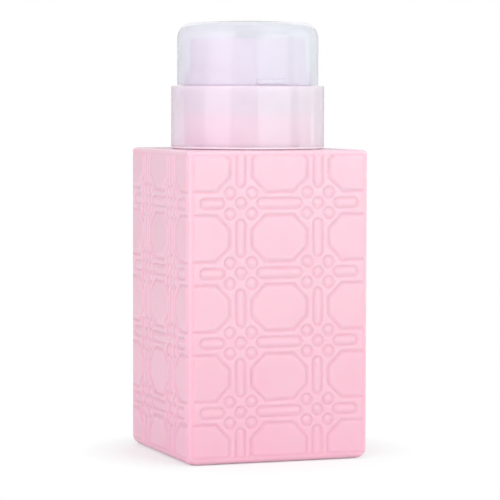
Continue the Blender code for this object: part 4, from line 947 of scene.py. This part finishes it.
roof_steps = [LID_ARC[0] * step / 8 for step in range(8)]
lid_profile = [(radius, crown(radius, LID_TOP)) for radius in roof_steps]
lid_profile += arc(LID_ARC, LID_ROUND, 90, 0, 14)
lid_profile += [(20, 104.4), (19.8, 104.2), (19, 104.2), (18.8, 104.4)]
lid_profile += arc(LID_ARC, LID_ROUND_INSIDE, 0, 90, 10)
lid_profile += [
    (5.6, crown(5.6, LID_ROOF_INSIDE)), (5.3, 120.8), (5.3, 114.35), (5.15, 114.2),
    (4.45, 114.2), (4.3, 114.35), (4.3, 115.5), (3.3, 115.5), (3.3, 120.9),
    (3, crown(3, LID_ROOF_INSIDE)), (0, LID_ROOF_INSIDE)]
lid = spun("flip_lid_moulded", lid_profile, 0, LARGE_SEGMENTS)
tongue_outline = arc(HINGE[1:], HINGE_ROUND, -90, 90, 16) + [(19.4, 107.55), (19.4, 104.55)]
lid = combined(lid, prism("tongue_tool", tongue_outline, -2.4, 2.4), 'UNION')
tab_outline = [(-4.4, -18.916)] + arc((-3.4, -20.5), 1.0, 180, 270, 6)
tab_outline += arc((3.4, -20.5), 1.0, 270, 360, 6) + [(4.4, -18.916)]
lid = combined(lid, prism("tab_tool", tab_outline, 104.55, 105.85, plane='XY', edge=0.3), 'UNION')
lid = bored(lid, HINGE, 'X', HINGE_BORE, 3.4)
report(lid)

# %% [markdown]
# ## Dressing the pieces and putting them on their bodies
#
# Each new piece stands for one CAD node, takes the record's material slot of that
# node, and rides on the node's body, so that it moves with the joints. The spring is
# shortened as the dish goes down: it keeps 15.3 of its 20.3 mm.


# %% Dress and place every piece
def dress(made, slot, body, nodes=(), finish=None):
    made.data.materials.clear()
    made.data.materials.append(MATERIALS[finish or slot])
    for node in nodes:
        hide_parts(node)
    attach(made, body)


def refinish(made, finish, picks):
    """Give one more finish to the faces that a rule picks by radius and height in millimetres."""
    made.data.materials.append(MATERIALS[finish])
    for face in made.data.polygons:
        if picks(face.center.xy.length / MM, face.center.z / MM):
            face.material_index = len(made.data.materials) - 1


# Between an outer and an inner skin: the radius of a wall, a round's reach, a top's height
CAP_SPLIT, LID_WALL_SPLIT, LID_ROUND_SPLIT = 17.5, 19.4, 3.9
SHELL_SPLIT, SHELL_TOP_SPLIT = 21.1, 103.9


def inside_lid(radius, height):
    if height < LID_ARC[1]:
        return radius <= LID_WALL_SPLIT
    return math.hypot(max(radius - LID_ARC[0], 0), height - LID_ARC[1]) <= LID_ROUND_SPLIT


def inside_shell(radius, height):
    return radius <= SHELL_SPLIT and height <= SHELL_TOP_SPLIT


BODY_OF = {node: body for body, members in frame["record"]["behaviour"]["bodies"].items()
           for node in members}
SLOT_OF = {part["node"]: part["material_slot"] for part in frame["record"]["subparts"]}
pieces.update(press_dish=dish, closure_shell=shell, flip_lid=lid, return_spring=spring,
                     bottle=bottle)
for node, made in pieces.items():
    dress(made, SLOT_OF[node], BODY_OF[node], [node], "hazy_cap_painted_pink_light" if node == "threaded_cap" else None)
dress(neck_thread, "frosted_pink_pet", "bottle")
dress(cap_thread, "natural_pp", "closure", finish="hazy_cap_inside_painted_pink_light")
cap = pieces["threaded_cap"]
# The cap's pink, inside and out, is painted light from the pink neck behind it.
refinish(cap, "hazy_cap_inside_painted_pink_light", lambda radius, height: radius <= CAP_SPLIT)
refinish(cap, "natural_pp", lambda radius, height: height > CAP_WEB)
# Painted light: the cap's top band takes the lilac of the dish above it.
refinish(cap, "lilac_pp", lambda radius, height: height > CAP_PAINTED_LILAC_FOOT)
refinish(shell, "translucent_pp_inside", inside_shell)
refinish(shell, "natural_pp", lambda radius, height: height < SHELL_RIM_TOP)
refinish(lid, "clear_pp_inside", inside_lid)
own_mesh(spring)

# %% [markdown]
# ## A small photo studio
#
# The bottle stands on a white floor. Softboxes stand left and right of the camera, weaker
# ones far to the right and behind, and the last hangs overhead. Their reflections are the
# upright stripes in the closure and the crescent on the dome. Near the bottle the floor
# keeps a soft shadow. Further out, a ray straight from the camera sees the floor's and
# the room's own white, so the background is clean without more light on the object.

# %% The camera
IMAGE_SIDE = 500
CAMERA_PLACE = Vector((-248.95, -695.63, 101.83)) * MM
CAMERA_TURN = math.radians(19.75)
CAMERA_PITCH = math.radians(3.438)
CAMERA_ROLL = math.radians(0.136)
FOCAL_PIXELS = 2599.1
SENSOR = 36.0
lens = bpy.data.cameras.new("studio_camera")
lens.sensor_width = SENSOR
lens.lens = FOCAL_PIXELS * SENSOR / IMAGE_SIDE
lens.clip_start, lens.clip_end = 0.01, 50.0
camera = place_in_scene("studio_camera", lens)
bpy.context.scene.camera = camera
look = Vector((math.sin(CAMERA_TURN) * math.cos(CAMERA_PITCH),
               math.cos(CAMERA_TURN) * math.cos(CAMERA_PITCH), -math.sin(CAMERA_PITCH)))
camera.location = CAMERA_PLACE
camera.rotation_mode = 'QUATERNION'
roll = Matrix.Rotation(CAMERA_ROLL, 3, 'Z').to_quaternion()
camera.rotation_quaternion = look.to_track_quat('-Z', 'Y') @ roll
print("lens", round(lens.lens, 1), "mm")

# %% The floor and the white surroundings
FLOOR_HALF = 6.0  # metres
FLOOR_WHITE = 0.45
SHADOW_END, WHITE_START = 32, 48  # millimetres from the bottle's axis
AMBIENT = 0.48
WHITE = (1.0, 1.0, 1.0, 1.0)


def seen_directly(tree):
    """One for rays straight from the camera, also past clear plastic."""
    return add_node(tree, 'ShaderNodeLightPath').outputs["Is Camera Ray"]


floor_mesh = bpy.data.meshes.new("floor")
corners = [(side * FLOOR_HALF, along * FLOOR_HALF, 0)
           for side, along in ((-1, -1), (1, -1), (1, 1), (-1, 1))]
floor_mesh.from_pydata(corners, [], [(0, 1, 2, 3)])
floor = place_in_scene("floor", floor_mesh)
floor_material, floor_tree = start_material("white_paper_floor")
paper = add_node(floor_tree, 'ShaderNodeBsdfDiffuse', {"Color": (0.93, 0.97, 0.96, 1.0)})
glow = add_node(floor_tree, 'ShaderNodeEmission', {"Color": WHITE, "Strength": 1.0})
place = add_node(floor_tree, 'ShaderNodeTexCoord').outputs["Object"]
away = add_node(floor_tree, 'ShaderNodeVectorMath', {0: place}, operation='LENGTH').outputs["Value"]
white = mapped(floor_tree, away, SHADOW_END * MM, WHITE_START * MM, low=FLOOR_WHITE)
share = calculated(floor_tree, 'MULTIPLY', seen_directly(floor_tree), white)
mixed = add_node(floor_tree, 'ShaderNodeMixShader', {
    0: share, 1: paper, 2: glow})
add_node(floor_tree, 'ShaderNodeOutputMaterial', {"Surface": mixed})
floor_mesh.materials.append(floor_material)
floor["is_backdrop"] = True

world = bpy.data.worlds.new("white_room")
bpy.context.scene.world = world
world.use_nodes = True
room = world.node_tree
room.nodes.clear()
strength = mapped(room, seen_directly(room), 0.0, 1.0, low=AMBIENT)
sky = add_node(room, 'ShaderNodeBackground', {"Color": WHITE, "Strength": strength})
add_node(room, 'ShaderNodeOutputWorld', {"Surface": sky})
print("floor side", 2 * FLOOR_HALF, "m")

# %% The softboxes
AIM = Vector((0, 0, 60)) * MM
TOWARDS_CAMERA = Vector((-math.sin(CAMERA_TURN), -math.cos(CAMERA_TURN), 0))
TO_THE_RIGHT = Vector((math.cos(CAMERA_TURN), -math.sin(CAMERA_TURN), 0))


def softbox(name, turn, rise, distance, width, height, brightness, tint=(1.0, 1.0, 1.0)):
    """A rectangular lamp; its turn and rise are degrees from the camera's side and the floor."""
    turn, rise = math.radians(turn), math.radians(rise)
    level = TOWARDS_CAMERA * math.cos(turn) + TO_THE_RIGHT * math.sin(turn)
    away = level * math.cos(rise) + Vector((0, 0, math.sin(rise)))
    data = bpy.data.lights.new(name, 'AREA')
    data.shape, data.size, data.size_y = 'RECTANGLE', width, height
    data.energy, data.color = brightness * math.pi * width * height, tint
    lamp = place_in_scene(name, data)
    lamp.location = AIM + away * distance
    lamp.rotation_mode = 'QUATERNION'
    lamp.rotation_quaternion = (-away).to_track_quat('-Z', 'Y')


# Each lamp's turn, rise, distance, width, height, brightness and tint
softbox("left_softbox", -46, 20, 0.75, 0.58, 0.70, 2.04, (0.99, 0.82, 0.94))
softbox("right_softbox", 41, 10, 0.75, 0.72, 0.30, 2.0, (0.97, 1.0, 1.0))
softbox("far_right_softbox", 100, 15, 0.75, 0.50, 0.60, 1.2)
softbox("back_softbox", 180, 30, 0.75, 0.50, 0.40, 1.1)
softbox("top_softbox", 30, 68, 0.7, 0.9, 0.4, 1.3)
print("lamps", len(bpy.data.lights))

bpy.context.scene.view_settings.view_transform = 'Standard'
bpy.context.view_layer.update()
for title, box in (("CAD box", CAD_BOX), ("visual box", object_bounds())):
    print(title, [tuple(round(side / MM, 2) for side in corner) for corner in box])
